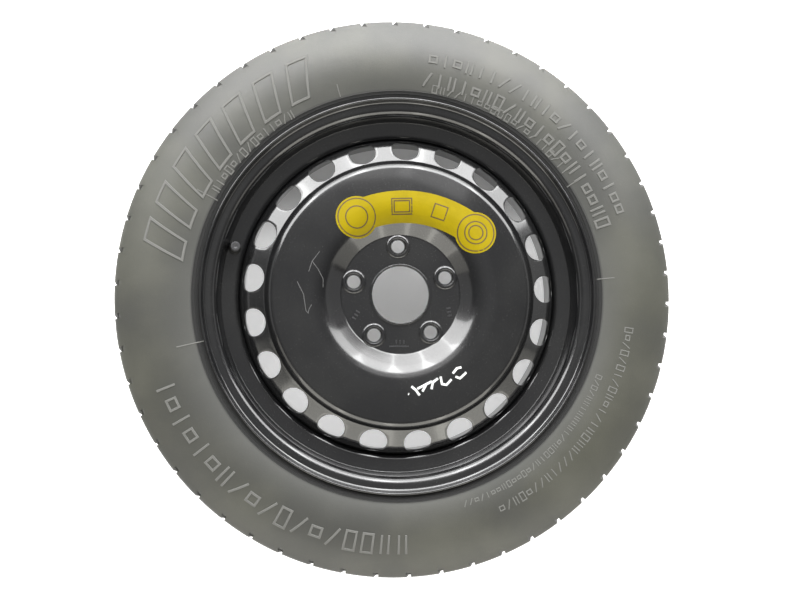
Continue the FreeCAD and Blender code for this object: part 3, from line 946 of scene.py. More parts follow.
    def bead_half(self) -> list[TyreRow]:
        """Rings from the middle of the inside, round the bead, to the flange's curve."""
        inner_shoulder = self.shoulder - Vector((self.tread_thickness, self.shoulder_thickness))
        inner_widest = Vector((self.widest.x, self.widest.y - self.sidewall_thickness))
        face = self.flange_z - self.bead_clearance
        seat = self.seat_radius + self.bead_clearance
        inner_end = Vector((self.seat_radius + self.bead_inner_height, face - self.bead_wall))
        toe = seat - math.tan(math.radians(self.seat_taper)) * self.bead_width
        centre = circle_through(inner_shoulder, inner_widest, inner_end)
        inside = [Vector((self.tread_radius - self.tread_thickness, 0.0))]
        inside += arc_points(centre, inner_shoulder, inner_end, self.inside_step)
        start = self.on_flange(0)
        bead = Profile([Corner(*inner_end), Corner(toe, face - self.bead_width),
                        Corner(seat, face, self.heel_bend), Corner(*start)])
        curve = arc_points(self.flange_centre, start, self.wrap_end, self.inside_step)
        return [TyreRow(*place) for place in inside + bead.points()[1:] + curve[1:-1]]

    def columns(self) -> list[TyreColumn]:
        """Lines across the tread, each with its angles and what it runs through."""
        pitch = math.tau / self.notch_count
        radius = self.tread_radius
        gap = self.wall_gap
        inner = self.notch_width / 2
        mouth = self.notch_mouth_width / 2
        sipe = self.sipe_width / 2
        middle = pitch * radius / 2 + self.notch_lean
        lines: list[tuple[ColumnKind, float, float]] = []
        for kind, side, extra in ((ColumnKind.PLAIN, -1, gap), (ColumnKind.NOTCH, -1, 0.0),
                                  (ColumnKind.NOTCH, 1, 0.0), (ColumnKind.PLAIN, 1, gap)):
            lines.append((kind, self.notch_lean + side * (inner + extra), side * (mouth + extra)))
        offsets = [(sipe, ColumnKind.SIPE), (sipe + gap, ColumnKind.PLAIN)]
        offsets += [(offset, ColumnKind.PLAIN) for offset in self.block_lines]
        for side, ordered in ((-1, offsets[::-1]), (1, offsets)):
            for offset, kind in ordered:
                place = middle + side * offset
                lines.append((kind, place, place))
        starts = [math.radians(self.notch_start_angle) + pitch * index for index in range(self.notch_count)]
        return [TyreColumn(kind, start + first / radius, start + second / radius)
                for start in starts for kind, first, second in lines]

    def ring_place(self, row: TyreRow, column: TyreColumn) -> Vector:
        """Where a ring meets a line across the tread."""
        radius = row.radius
        if row.notched and column.kind is ColumnKind.NOTCH:
            radius = min(radius, self.notch_floor)
        if row.siped and column.kind is ColumnKind.SIPE:
            radius -= self.sipe_depth
        share = (abs(row.height) - self.notch_start) / self.notch_length
        angle = column.inner + (column.mouth - column.inner) * min(max(share, 0.0), self.mouth_reach)
        return polar(radius, angle, row.height)

    def build(self, material: bpy.types.Material) -> None:
        """Makes the tyre's mesh and dresses it."""
        upper = self.bead_half()[1:] + self.outer_half()[:-1]
        lower = [TyreRow(row.radius, -row.height, row.notched, row.siped) for row in reversed(upper)]
        middle_inside = TyreRow(self.tread_radius - self.tread_thickness, 0.0)
        rings = [middle_inside] + upper + lower
        columns = self.columns()
        draft = MeshDraft()
        draft.grid([[self.ring_place(row, column) for column in columns] for row in rings],
                   wrap_rows=True, wrap_columns=True)
        add_piece("tyre_moulding", draft.mesh("tyre_moulding"), material, "tyre_rubber", replaces=["tyre"])


def outline(half_width: float, half_height: float) -> Path:
    """The corners of an upright rectangle about the origin."""
    return [(-half_width, -half_height), (-half_width, half_height), (half_width, half_height),
            (half_width, -half_height)]


class MarkKind(Enum):
    """Plain raised shapes that fill the bands of the sidewall."""

    BAR = 0
    PAIR = 1
    FRAME = 2
    SLASH = 3
    BLOCK = 4


@dataclass(frozen=True)
class MarkRow:
    """A row of raised shapes along an arc of the sidewall."""

    start: float
    end: float
    radius: float
    height: float
    pitch: float
    stroke: float
    lift: float
    lean: float = 0.0
    kinds: tuple[MarkKind, ...] = tuple(MarkKind)


@dataclass
class SidewallRelief:
    """Plain raised shapes, hatching and mould lines on the tyre's outer sidewall."""

    tyre: Tyre
    seed: int = 7
    rows: tuple[MarkRow, ...] = (
        MarkRow(172.0, 112.0, 0.2575, 0.042, 0.036, 0.0022, 0.0008, 0.35, (MarkKind.FRAME,)),
        MarkRow(84.0, 20.0, 0.2615, 0.0145, 0.0135, 0.0019, 0.0007),
        MarkRow(85.0, 18.0, 0.2385, 0.0145, 0.0135, 0.0019, 0.0007),
        MarkRow(200.0, 272.0, 0.268, 0.02, 0.0185, 0.0021, 0.0006),
        MarkRow(152.0, 121.0, 0.2285, 0.0085, 0.008, 0.0011, 0.0005),
        MarkRow(82.0, 36.0, 0.2295, 0.0075, 0.0085, 0.001, 0.0005),
        MarkRow(-8.0, -66.0, 0.2555, 0.009, 0.0085, 0.001, 0.00035),
        MarkRow(-22.0, -74.0, 0.2365, 0.006, 0.0065, 0.0008, 0.0003),
    )
    mould_lines: tuple[tuple[float, float, float], ...] = (
        (193.7, 0.2155, 0.245), (4.5, 0.22, 0.238), (107.5, 0.226, 0.239), (153.5, 0.222, 0.245),
        (33.0, 0.222, 0.24),
    )
    line_width: float = 0.0009
    line_height: float = 0.0004
    mark_half_share: float = 0.3
    pair_share: float = 0.7
    block_share: float = 0.5

    def spot(self, angle: float, radius: float) -> SurfaceMap:
        """A flat measure about a place on the sidewall, with y away from the axis."""
        def place(across: float, outward: float, lift: float) -> Vector:
            turn = angle - across / radius
            point = self.tyre.on_wall(radius + outward, lift)
            return polar(point.x, turn, point.y)
        return place

    def mark(self, draft: MeshDraft, kind: MarkKind, surface: SurfaceMap, row: MarkRow) -> None:
        """Adds one raised shape."""
        half = row.height / 2
        wide = row.pitch * self.mark_half_share
        aside = wide * self.pair_share
        low = half * self.block_share
        paths: dict[MarkKind, list[Path]] = {
            MarkKind.BAR: [[(0, -half), (0, half)]],
            MarkKind.PAIR: [[(side * aside, -half), (side * aside, half)] for side in (-1, 1)],
            MarkKind.FRAME: [outline(wide, half)],
            MarkKind.SLASH: [[(-wide, -half), (wide, half)]],
            MarkKind.BLOCK: [outline(wide, low)],
        }
        closed = kind in (MarkKind.FRAME, MarkKind.BLOCK)
        for path in paths[kind]:
            leaning = [(across + outward * row.lean, outward) for across, outward in path]
            stroke(draft, surface, leaning, row.stroke, row.lift, closed=closed)

    def fill_row(self, draft: MeshDraft, row: MarkRow, picks: random.Random) -> None:
        """Fills one row with raised shapes."""
        span = math.radians(abs(row.end - row.start)) * row.radius
        count = int(span / row.pitch)
        turn = math.radians(row.end - row.start) / count
        for index in range(count):
            kind = picks.choice(row.kinds)
            angle = math.radians(row.start) + turn * (index + 0.5)
            self.mark(draft, kind, self.spot(angle, row.radius), row)

    def build(self) -> None:
        """Makes the relief, in the frame's plain rubber, which is paler than the tyre's own material."""
        picks = random.Random(self.seed)
        draft = MeshDraft()
        for row in self.rows:
            self.fill_row(draft, row, picks)
        for angle, inner, outer in self.mould_lines:
            stroke(draft, self.spot(math.radians(angle), inner), [(0, 0), (0, outer - inner)],
                   self.line_width, self.line_height)
        material = plain_material("tyre_rubber")
        add_piece("sidewall_relief", draft.mesh("sidewall_relief", 40), material, "tyre_rubber")


# Wheel


@dataclass(frozen=True)
class Rim:
    """The rolled rim: flanges, bead seats, humps and drop well."""

    width: float = 0.1016
    seat_radius: float = 0.2028
    seat_width: float = 0.02
    seat_taper: float = 5.0
    thickness: float = 0.0028
    flange_height: float = 0.0141
    flange_bend: float = 0.007
    lip_length: float = 0.003
    heel_bend: float = 0.00639
    hump_rise: float = 0.0016
    hump_run: float = 0.0065
    hump_bend: float = 0.004
    well_depth: float = 0.0205
    well_bend: float = 0.0045
    outboard_lean: float = 10.0
    inboard_lean: float = 35.0
    valve_hole: float = 0.0115
    columns: int = 315
    lip_steps: int = 6
    drill_facets: int = 48

    def outer_half(self, side: int, wall_lean: float) -> list[Corner]:
        """Corners of the tyre side of one half, from the lip to the well's foot."""
        flange_z = self.width / 2
        flange_radius = self.seat_radius + self.flange_height
        seat_end = self.seat_radius - self.seat_width * math.tan(math.radians(self.seat_taper))
        hump_z = flange_z - self.seat_width - self.hump_run
        hump_radius = seat_end + self.hump_rise
        well_radius = self.seat_radius - self.well_depth
        foot_z = hump_z - (hump_radius - well_radius) * math.tan(math.radians(wall_lean))
        return [
            Corner(flange_radius, side * (flange_z + self.flange_bend + self.lip_length)),
            Corner(flange_radius, side * flange_z, self.flange_bend),
            Corner(self.seat_radius, side * flange_z, self.heel_bend),
            Corner(seat_end, side * (flange_z - self.seat_width)),
            Corner(hump_radius, side * hump_z, self.hump_bend),
            Corner(well_radius, side * foot_z, self.well_bend),
        ]

    def section(self) -> list[Vector]:
        """The closed section of the rolled sheet, with round lips."""
        inboard = self.outer_half(-1, self.inboard_lean)
        outboard = self.outer_half(1, self.outboard_lean)
        tyre_side = Profile(inboard + outboard[::-1])
        air_side = tyre_side.parallel(self.thickness)
        rounding = self.thickness / 2
        there = tyre_side.points()
        back = air_side.points()[::-1]
        lip = rounding * Vector((0.0, 1.0))
        there[0] = there[0] + lip
        there[-1] = there[-1] - lip
        back[0] = back[0] - lip
        back[-1] = back[-1] + lip
        ends = []
        for start, end in ((there[-1], back[0]), (back[-1], there[0])):
            outward = lip.normalized() * (1 if start.y > 0 else -1)
            middle = (start + end) / 2
            ends.append([middle + (start - middle) * math.cos(turn) + outward * rounding * math.sin(turn)
                         for turn in (math.pi * step / self.lip_steps for step in range(1, self.lip_steps))])
        return there + ends[0] + back + ends[1]

    def build(self, material: bpy.types.Material, valve: Matrix) -> None:
        """Makes the rim's mesh with its valve hole and dresses it.

        Args:
            material: The paint.
            valve: The valve's place, with its axis along the hole.
        """
        draft = MeshDraft()
        draft.grid(turned_rows(self.section(), even_angles(self.columns)), wrap_rows=True, wrap_columns=True)
        drill = MeshDraft()
        reach = 3 * self.thickness
        ends = [Vector((self.valve_hole / 2, height)) for height in (-reach, reach)]
        drill.tube(turned_rows(ends, even_angles(self.drill_facets)))
        mesh = carved(draft.mesh("rim_rolled"), drill.moved(valve).mesh("drill"), "DIFFERENCE")
        smooth(mesh, 32)
        add_piece("rim_rolled", mesh, material, "wheel_paint", replaces=["rim"])


@dataclass
class WheelDisc:
    """The pressed disc: hub pad with bolt seats, bowl, shoulder, vented land and wall, and skirt."""

    thickness: float = 0.0035
    hub_offset: float = 0.036
    bore_radius: float = 0.0317
    collar_width: float = 0.0026
    collar_rise: float = 0.002
    collar_round: float = 0.0009
    pad_radius: float = 0.06625
    pad_bend: float = 0.0055
    bowl_depth: float = 0.018
    bowl_angle: float = 36.0
    bowl_bend: float = 0.044
    crown_fall: float = 5.0
    shoulder_bend: float = 0.0115
    step_height: float = 0.007
    step_run: float = 0.006
    step_bend: float = 0.004
    land_run: float = 0.0225
    land_slope: float = 21.0
    land_bend: float = 0.014
    wall_run: float = 0.00745
    wall_slope: float = 65.0
    vent_count: int = 21
    vent_radius: float = 0.01515
    vent_ring: float = 0.16365
    vent_tilt: float = 34.5
    vent_sink: float = 0.0037
    vent_start: float = 88.1
    vent_edge: float = 0.0006
    skirt_bend: float = 0.008
    bolt_count: int = 5
    bolt_ring: float = 0.054
    bolt_start: float = 92.9
    bolt_hole: float = 0.00725
    seat_mouth: float = 0.0091
    seat_cone: float = 60.0
    mouth_inset: float = 0.0002
    mouth_depth: float = 0.0004
    mouth_flare: float = 0.0006
    mouth_lift: float = 0.0001
    collar_foot: float = 0.0135
    crest_width: float = 0.0008
    bolt_rise: float = 0.002
    relief_radius: float = 0.0105
    relief_depth: float = 0.001
    bolt_facets: int = 60
    sector_columns: int = 15
    side_rows: int = 20
    edge_rows: tuple[tuple[float, float], ...] = ((0.0, 1.0), (0.3, 0.3), (1.0, 0.0))
    sector_rows: tuple[float, ...] = (0.25, 0.55, 1.0)
    search_steps: int = 200
    halvings: int = 30
    slope_step: float = 0.0004

    def __post_init__(self) -> None:
        """Works out the two sides of the sheet, and the line that each vent is punched along."""
        low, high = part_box("wheel_disc")
        skirt = high.x
        self.pad_z = self.hub_offset + self.thickness
        crown_radius = self.pad_radius + self.bowl_depth / math.tan(math.radians(self.bowl_angle))
        crown_z = self.pad_z + self.bowl_depth
        land_end = skirt - self.wall_run
        step_foot = land_end - self.land_run
        shoulder = step_foot - self.step_run
        land_fall = math.tan(math.radians(self.land_slope))
        shoulder_z = crown_z - (shoulder - crown_radius) * math.tan(math.radians(self.crown_fall))
        step_foot_z = shoulder_z - self.step_height
        land_end_z = step_foot_z - self.land_run * land_fall
        skirt_top_z = land_end_z - self.wall_run * math.tan(math.radians(self.wall_slope))
        self.outer = Profile([
            Corner(self.bore_radius, self.pad_z),
            Corner(self.pad_radius, self.pad_z, self.pad_bend),
            Corner(crown_radius, crown_z, self.bowl_bend),
            Corner(shoulder, shoulder_z, self.shoulder_bend),
            Corner(step_foot, step_foot_z, self.step_bend),
            Corner(land_end, land_end_z, self.land_bend),
            Corner(skirt, skirt_top_z, self.skirt_bend),
            Corner(skirt, low.z),
        ])
        self.inner = self.outer.parallel(-self.thickness)
        self.outer_points = self.outer.points()
        tilt = math.radians(self.vent_tilt)
        vent_z = step_foot_z - (self.vent_ring - step_foot) * land_fall - self.vent_sink
        self.vent_middle = Vector((self.vent_ring, 0.0, vent_z))
        self.vent_axis = Vector((math.sin(tilt), 0.0, math.cos(tilt)))

    def surface_z(self, radius: float) -> float:
        """The height of the disc's outer side at a distance from the axis."""
        for start, end in zip(self.outer_points, self.outer_points[1:]):
            if start.x <= radius <= end.x and end.x > start.x:
                return start.y + (end.y - start.y) * (radius - start.x) / (end.x - start.x)
        return self.outer_points[0].y

    def place(self, x: float, y: float, lift: float) -> Vector:
        """A place on the disc's outer side, lifted square to it."""
        radius = math.hypot(x, y)
        step = self.slope_step
        rise = (self.surface_z(radius + step) - self.surface_z(radius - step)) / (2 * step)
        normal = Vector((-rise * x / radius, -rise * y / radius, 1.0)).normalized()
        return Vector((x, y, self.surface_z(radius))) + normal * lift

    def middle_points(self, profile: Profile) -> list[Vector]:
        """Points of a side from the bore to the start of the vented land."""
        arcs = [profile.bend_points(index) for index in range(1, STEP_CORNER + 1)]
        return [point for arc in arcs for point in arc]

    def skirt_points(self, profile: Profile) -> list[Vector]:
        """Points of a side from the end of the steep wall to the skirt's edge."""
        return profile.bend_points(SKIRT_CORNER) + [profile.corners[-1].place]

    def bore_points(self) -> list[Vector]:
        """The bore's wall and its rounded collar, from the back to the pad."""
        top = self.pad_z + self.collar_rise
        outer = self.bore_radius + self.collar_width
        collar = Profile([
            Corner(self.bore_radius, self.hub_offset),
            Corner(self.bore_radius, top, self.collar_round),
            Corner(outer, top, self.collar_round),
            Corner(outer, self.pad_z),
        ])
        return collar.points()

    def vent_run(self, profile: Profile) -> Run:
        """One side of the sheet from the step's foot to the skirt."""
        land = profile.bend_points(LAND_CORNER)
        return Run(profile.bend_points(STEP_CORNER)[-1:] + land + profile.bend_points(SKIRT_CORNER)[:1])

    def aside(self, place: Vector) -> float:
        """How far a place lies from the line that a vent is punched along."""
        offset = place - self.vent_middle
        return (offset - self.vent_axis * offset.dot(self.vent_axis)).length

    def sector_border(self) -> list[tuple[float, float]]:
        """The border of one vent's share of a side, in order, as (share of the run, turn) pairs."""
        half = math.pi / self.vent_count
        across = [half * (2 * step / self.sector_columns - 1) for step in range(self.sector_columns)]
        down = [step / self.side_rows for step in range(self.side_rows)]
        border = [(0.0, turn) for turn in across]
        border += [(share, half) for share in down]
        border += [(1.0, -turn) for turn in across]
        border += [(1.0 - share, -half) for share in down]
        return border

    def vent_reach(self, run: Run, middle: float, spot: tuple[float, float], radius: float) -> float:
        """How far from a vent's middle towards its border a punch of some radius cuts.

        Args:
            run: The side of the sheet that is cut.
            middle: The share of the run where the vent's middle lies.
            spot: The place on the border.
            radius: The punch's radius.

        Returns:
            A share of the way, from 0 at the middle to 1 at the border.
        """
        low, high = 0.0, 1.0
        for _ in range(self.halvings):
            half = (low + high) / 2
            place = run.turned(middle + (spot[0] - middle) * half, spot[1] * half)
            if self.aside(place) < radius:
                low = half
            else:
                high = half
        return (low + high) / 2

    def vent_sector(self, run: Run, inside: bool) -> Rows:
        """Rings from a vent's edge out to the border of its share of a side.

        Args:
            run: The side of the sheet.
            inside: Whether this is the inner side.

        Returns:
            Rows of places, before they turn to the vent's angle.
        """
        border = self.sector_border()
        edge = self.vent_edge
        sink = self.vent_axis * (edge if inside else -edge)
        shares = [step / self.search_steps for step in range(self.search_steps + 1)]
        middle = min(shares, key=lambda share: self.aside(run.turned(share, 0.0)))

        def ring(reaches: Sequence[float], depth: float) -> list[Vector]:
            return [run.turned(middle + (spot[0] - middle) * reach, spot[1] * reach) + sink * depth
                    for spot, reach in zip(border, reaches)]

        rows: Rows = []
        for widening, depth in self.edge_rows:
            radius = self.vent_radius + edge * widening
            reaches = [self.vent_reach(run, middle, spot, radius) for spot in border]
            rows.append(ring(reaches, depth))
        for share in self.sector_rows:
            rows.append(ring([reach + (1 - reach) * share for reach in reaches], 0.0))
        return rows

    def add_vents(self, draft: MeshDraft) -> None:
        """Adds the vented band, both sides of the sheet and the vents' walls."""
        face = self.vent_sector(self.vent_run(self.outer), inside=False)
        back = self.vent_sector(self.vent_run(self.inner), inside=True)
        wall = [back[0], face[0]]
        for index in range(self.vent_count):
            turn = Matrix.Rotation(math.radians(self.vent_start) + math.tau * index / self.vent_count, 3, "Z")
            for rows in (face, back, wall):
                draft.grid([[turn @ place for place in row] for row in rows], wrap_columns=True)

    def bolt_shape(self, points: Sequence[tuple[float, float]]) -> MeshDraft:
        """A turned solid repeated on the bolt circle."""
        single = MeshDraft()
        single.tube(turned_rows([Vector(point) for point in points], even_angles(self.bolt_facets)))
        whole = MeshDraft()
        for angle in even_angles(self.bolt_count, math.radians(self.bolt_start)):
            whole.join(single.moved(Matrix.Translation(polar(self.bolt_ring, angle, 0.0))))
        return whole

    def collars(self) -> MeshDraft:
        """The raised rings of the bolt seats."""
        crest = self.seat_mouth + self.crest_width
        slope = self.collar_foot - crest
        steps = [math.radians(angle) for angle in range(0, 91, 15)]
        swell = [(crest + slope * math.cos(angle), self.pad_z + self.bolt_rise * math.sin(angle))
                 for angle in steps]
        return self.bolt_shape([(self.collar_foot, self.pad_z - self.bolt_rise), *swell])

    def bolt_cutters(self) -> MeshDraft:
        """Bolt holes with their conical seats, and the relief behind each."""
        top = self.pad_z + self.bolt_rise
        cone = (self.seat_mouth - self.bolt_hole) / math.tan(math.radians(self.seat_cone / 2))
        relief = self.hub_offset + self.relief_depth
        flare = self.seat_mouth + self.mouth_flare
        return self.bolt_shape([
            (self.relief_radius, self.hub_offset - self.thickness),
            (self.relief_radius, relief),
            (self.bolt_hole, relief),
            (self.bolt_hole, top - cone),
            (self.seat_mouth - self.mouth_inset, top - self.mouth_depth),
            (flare, top + self.mouth_lift),
            (flare, top + self.thickness),
        ])

    def build(self, material: bpy.types.Material) -> None:
        """Makes the disc's mesh and dresses it."""
        columns = self.vent_count * self.sector_columns
        start = math.radians(self.vent_start) - math.pi / self.vent_count
        angles = even_angles(columns, start)
        draft = MeshDraft()
        back = self.middle_points(self.inner)
        face = self.middle_points(self.outer)
        draft.grid(turned_rows(back[::-1] + self.bore_points() + face, angles), wrap_columns=True)
        edge = self.skirt_points(self.outer) + self.skirt_points(self.inner)[::-1]
        draft.grid(turned_rows(edge, angles), wrap_columns=True)
        self.add_vents(draft)
        mesh = carved(draft.mesh("disc_pressed"), self.collars().mesh("collars"), "UNION")
        mesh = carved(mesh, self.bolt_cutters().mesh("bolts"), "DIFFERENCE")
        smooth(mesh, 32)
        add_piece("disc_pressed", mesh, material, "wheel_paint", replaces=["wheel_disc"])


@dataclass
class DiscMarks:
    """What has been put on the disc or scraped off it: pen strokes, scratches and plain stamped bars."""

    disc: WheelDisc
    pen_width: float = 0.0024
    pen_height: float = 0.00008
    scratch_width: float = 0.0007
    scratch_height: float = 0.00004
    stamp_width: float = 0.0014
    stamp_height: float = 0.00035
    stamp_pitch: float = 0.0042
    stamp_half: float = 0.0022
    stroke_step: float = 0.0012

    def pen_paths(self) -> list[Path]:
        """A dot, ticks and a looping line of white paint pen."""
        return [
            [(0.0070, -0.1090), (0.0079, -0.1094)],
            [(0.0105, -0.1010), (0.0150, -0.1045), (0.0195, -0.1105)],
            [(0.0170, -0.1035), (0.0250, -0.0995), (0.0330, -0.0955)],
            [(0.0225, -0.1065), (0.0262, -0.1000)],
            [(0.0325, -0.1040), (0.0340, -0.0965), (0.0395, -0.0925)],
            [(0.0425, -0.0905), (0.0440, -0.0985), (0.0490, -0.0995), (0.0545, -0.0935)],
            [(0.0560, -0.0870), (0.0605, -0.0815), (0.0655, -0.0805)],
            [(0.0590, -0.0905), (0.0640, -0.0925), (0.0710, -0.0860)],
        ]

    def scratch_paths(self) -> list[Path]:
        """Scrapes through the paint, left of the hub."""
        return [
            [(-0.0895, 0.0458), (-0.0975, 0.0347), (-0.0912, 0.0265), (-0.0857, 0.0160), (-0.0857, 0.0067)],
            [(-0.0975, 0.0347), (-0.1011, 0.0238)],
            [(-0.1134, 0.0124), (-0.1065, -0.0012), (-0.1039, -0.0186), (-0.1014, -0.0216), (-0.1005, -0.0173),
             (-0.0979, -0.0123)],
        ]

    def stamp_paths(self) -> list[Path]:
        """Short bars pressed up from the hub pad."""
        bars = [[(-0.0125, -0.0578), (0.0095, -0.0578)]]
        for x, y, lean in ((-0.0495, -0.0229, 60.0), (0.0547, -0.0193, -80.0), (-0.0005, -0.0530, 0.0)):
            turn = math.radians(lean)
            for offset in (-self.stamp_pitch, 0.0, self.stamp_pitch):
                base = Vector((x, y)) + Vector((math.cos(turn), math.sin(turn))) * offset
                tip = Vector((-math.sin(turn), math.cos(turn))) * self.stamp_half
                bars.append([tuple(base - tip), tuple(base + tip)])
        return bars

    def build(self) -> None:
        """Makes each kind of mark as its own piece."""
        sets = (
            ("pen_strokes", self.pen_paths(), self.pen_width, self.pen_height, PEN_PAINT),
            ("paint_scratches", self.scratch_paths(), self.scratch_width, self.scratch_height, BARE_SCRATCH),
            ("hub_stamps", self.stamp_paths(), self.stamp_width, self.stamp_height, STAMP_PAINT),
        )
        for name, paths, width, height, finish in sets:
            draft = MeshDraft()
            for path in paths:
                stroke(draft, self.disc.place, path, width, height, step=self.stroke_step)
            add_piece(name, draft.mesh(name, 50), finish.material(), "wheel_paint")


@dataclass
class Sticker:
    """The yellow sticker on the bowl: an arc with a round end at each side and thin printed outlines."""

    disc: WheelDisc
    thickness: float = 0.0002
    inner_radius: float = 0.1042
    outer_radius: float = 0.1392
    start: float = 50.1
    end: float = 116.3
    end_radius: float = 0.023
    centre_x: float = 0.0044
    centre_y: float = -0.0251
    ink_width: float = 0.0013
    ink_height: float = 0.00004
    end_rings: tuple[float, ...] = (0.0205, 0.012)
    start_rings: tuple[float, ...] = (0.0205, 0.0125, 0.008)
    boxes: tuple[tuple[float, float, float], ...] = (
        (92.0, 0.011, 0.0085), (92.0, 0.0085, 0.006), (72.0, 0.0075, 0.0075),
    )
    ring_facets: int = 48
    stations: int = 150
    across: int = 24
    end_guard: float = 0.99999
    foot_lift: float = 0.00001

    def __post_init__(self) -> None:
        """Works out the ring of the end discs' middles."""
        self.ring = (self.inner_radius + self.outer_radius) / 2

    def span(self, angle: float) -> tuple[float, float]:
        """The sticker's inner and outer edge along a ray from its centre."""
        low, high = self.ring, self.ring
        if math.radians(self.start) <= angle <= math.radians(self.end):
            low, high = self.inner_radius, self.outer_radius
        for end in (self.start, self.end):
            aside = self.ring * math.sin(angle - math.radians(end))
            if abs(aside) < self.end_radius:
                middle = self.ring * math.cos(angle - math.radians(end))
                reach = math.sqrt(self.end_radius ** 2 - aside ** 2)
                low, high = min(low, middle - reach), max(high, middle + reach)
        return low, high

    def place(self, angle: float, radius: float, lift: float) -> Vector:
        """A place on the bowl, in the sticker's own polar measure."""
        x = self.centre_x + radius * math.cos(angle)
        y = self.centre_y + radius * math.sin(angle)
        return self.disc.place(x, y, lift)

    def film(self) -> MeshDraft:
        """The film with its edges."""
        reach = math.asin(self.end_radius / self.ring) * self.end_guard
        first = math.radians(self.start) - reach
        last = math.radians(self.end) + reach
        rows: Rows = []
        for step in range(self.stations + 1):
            share = 0.5 - 0.5 * math.cos(math.pi * step / self.stations)
            angle = first + (last - first) * share
            low, high = self.span(angle)
            radii = [low + (high - low) * index / self.across for index in range(self.across + 1)]
            top = [self.place(angle, radius, self.thickness) for radius in radii]
            foot = [self.place(angle, radius, self.foot_lift) for radius in (high, low)]
            rows.append(top + foot)
        draft = MeshDraft()
        draft.tube(rows)
        return draft

    def ink_map(self, angle: float) -> SurfaceMap:
        """A flat measure about a place on the film's middle line, with y away from the sticker's centre."""
        def place(across: float, outward: float, lift: float) -> Vector:
            middle = Vector((math.cos(angle), math.sin(angle))) * (self.ring + outward)
            side = Vector((math.sin(angle), -math.cos(angle))) * across
            spot = middle + side
            return self.disc.place(self.centre_x + spot.x, self.centre_y + spot.y, self.thickness + lift)
        return place

    def outlines(self) -> MeshDraft:
        """Thin printed rings at the ends, and plain outlines between them."""
        draft = MeshDraft()
        shapes: list[tuple[float, Path]] = []
        for angle, radii in ((self.end, self.end_rings), (self.start, self.start_rings)):
            for radius in radii:
                turns = even_angles(self.ring_facets)
                shapes.append((angle, [(radius * math.cos(turn), radius * math.sin(turn)) for turn in turns]))
        shapes += [(angle, outline(half_width, half_height)) for angle, half_width, half_height in self.boxes]
        for angle, path in shapes:
            surface = self.ink_map(math.radians(angle))
            stroke(draft, surface, path, self.ink_width, self.ink_height, closed=True)
        return draft

    def build(self) -> None:
        """Makes the film and its print and dresses them."""
        add_piece("sticker_film", self.film().mesh("sticker_film", 40), LABEL_FILM.material(), "label_film",
                  replaces=["label"])
        ink = self.outlines().mesh("sticker_outlines", 50)
        add_piece("sticker_outlines", ink, LABEL_INK.material(), "label_film")


# Valve


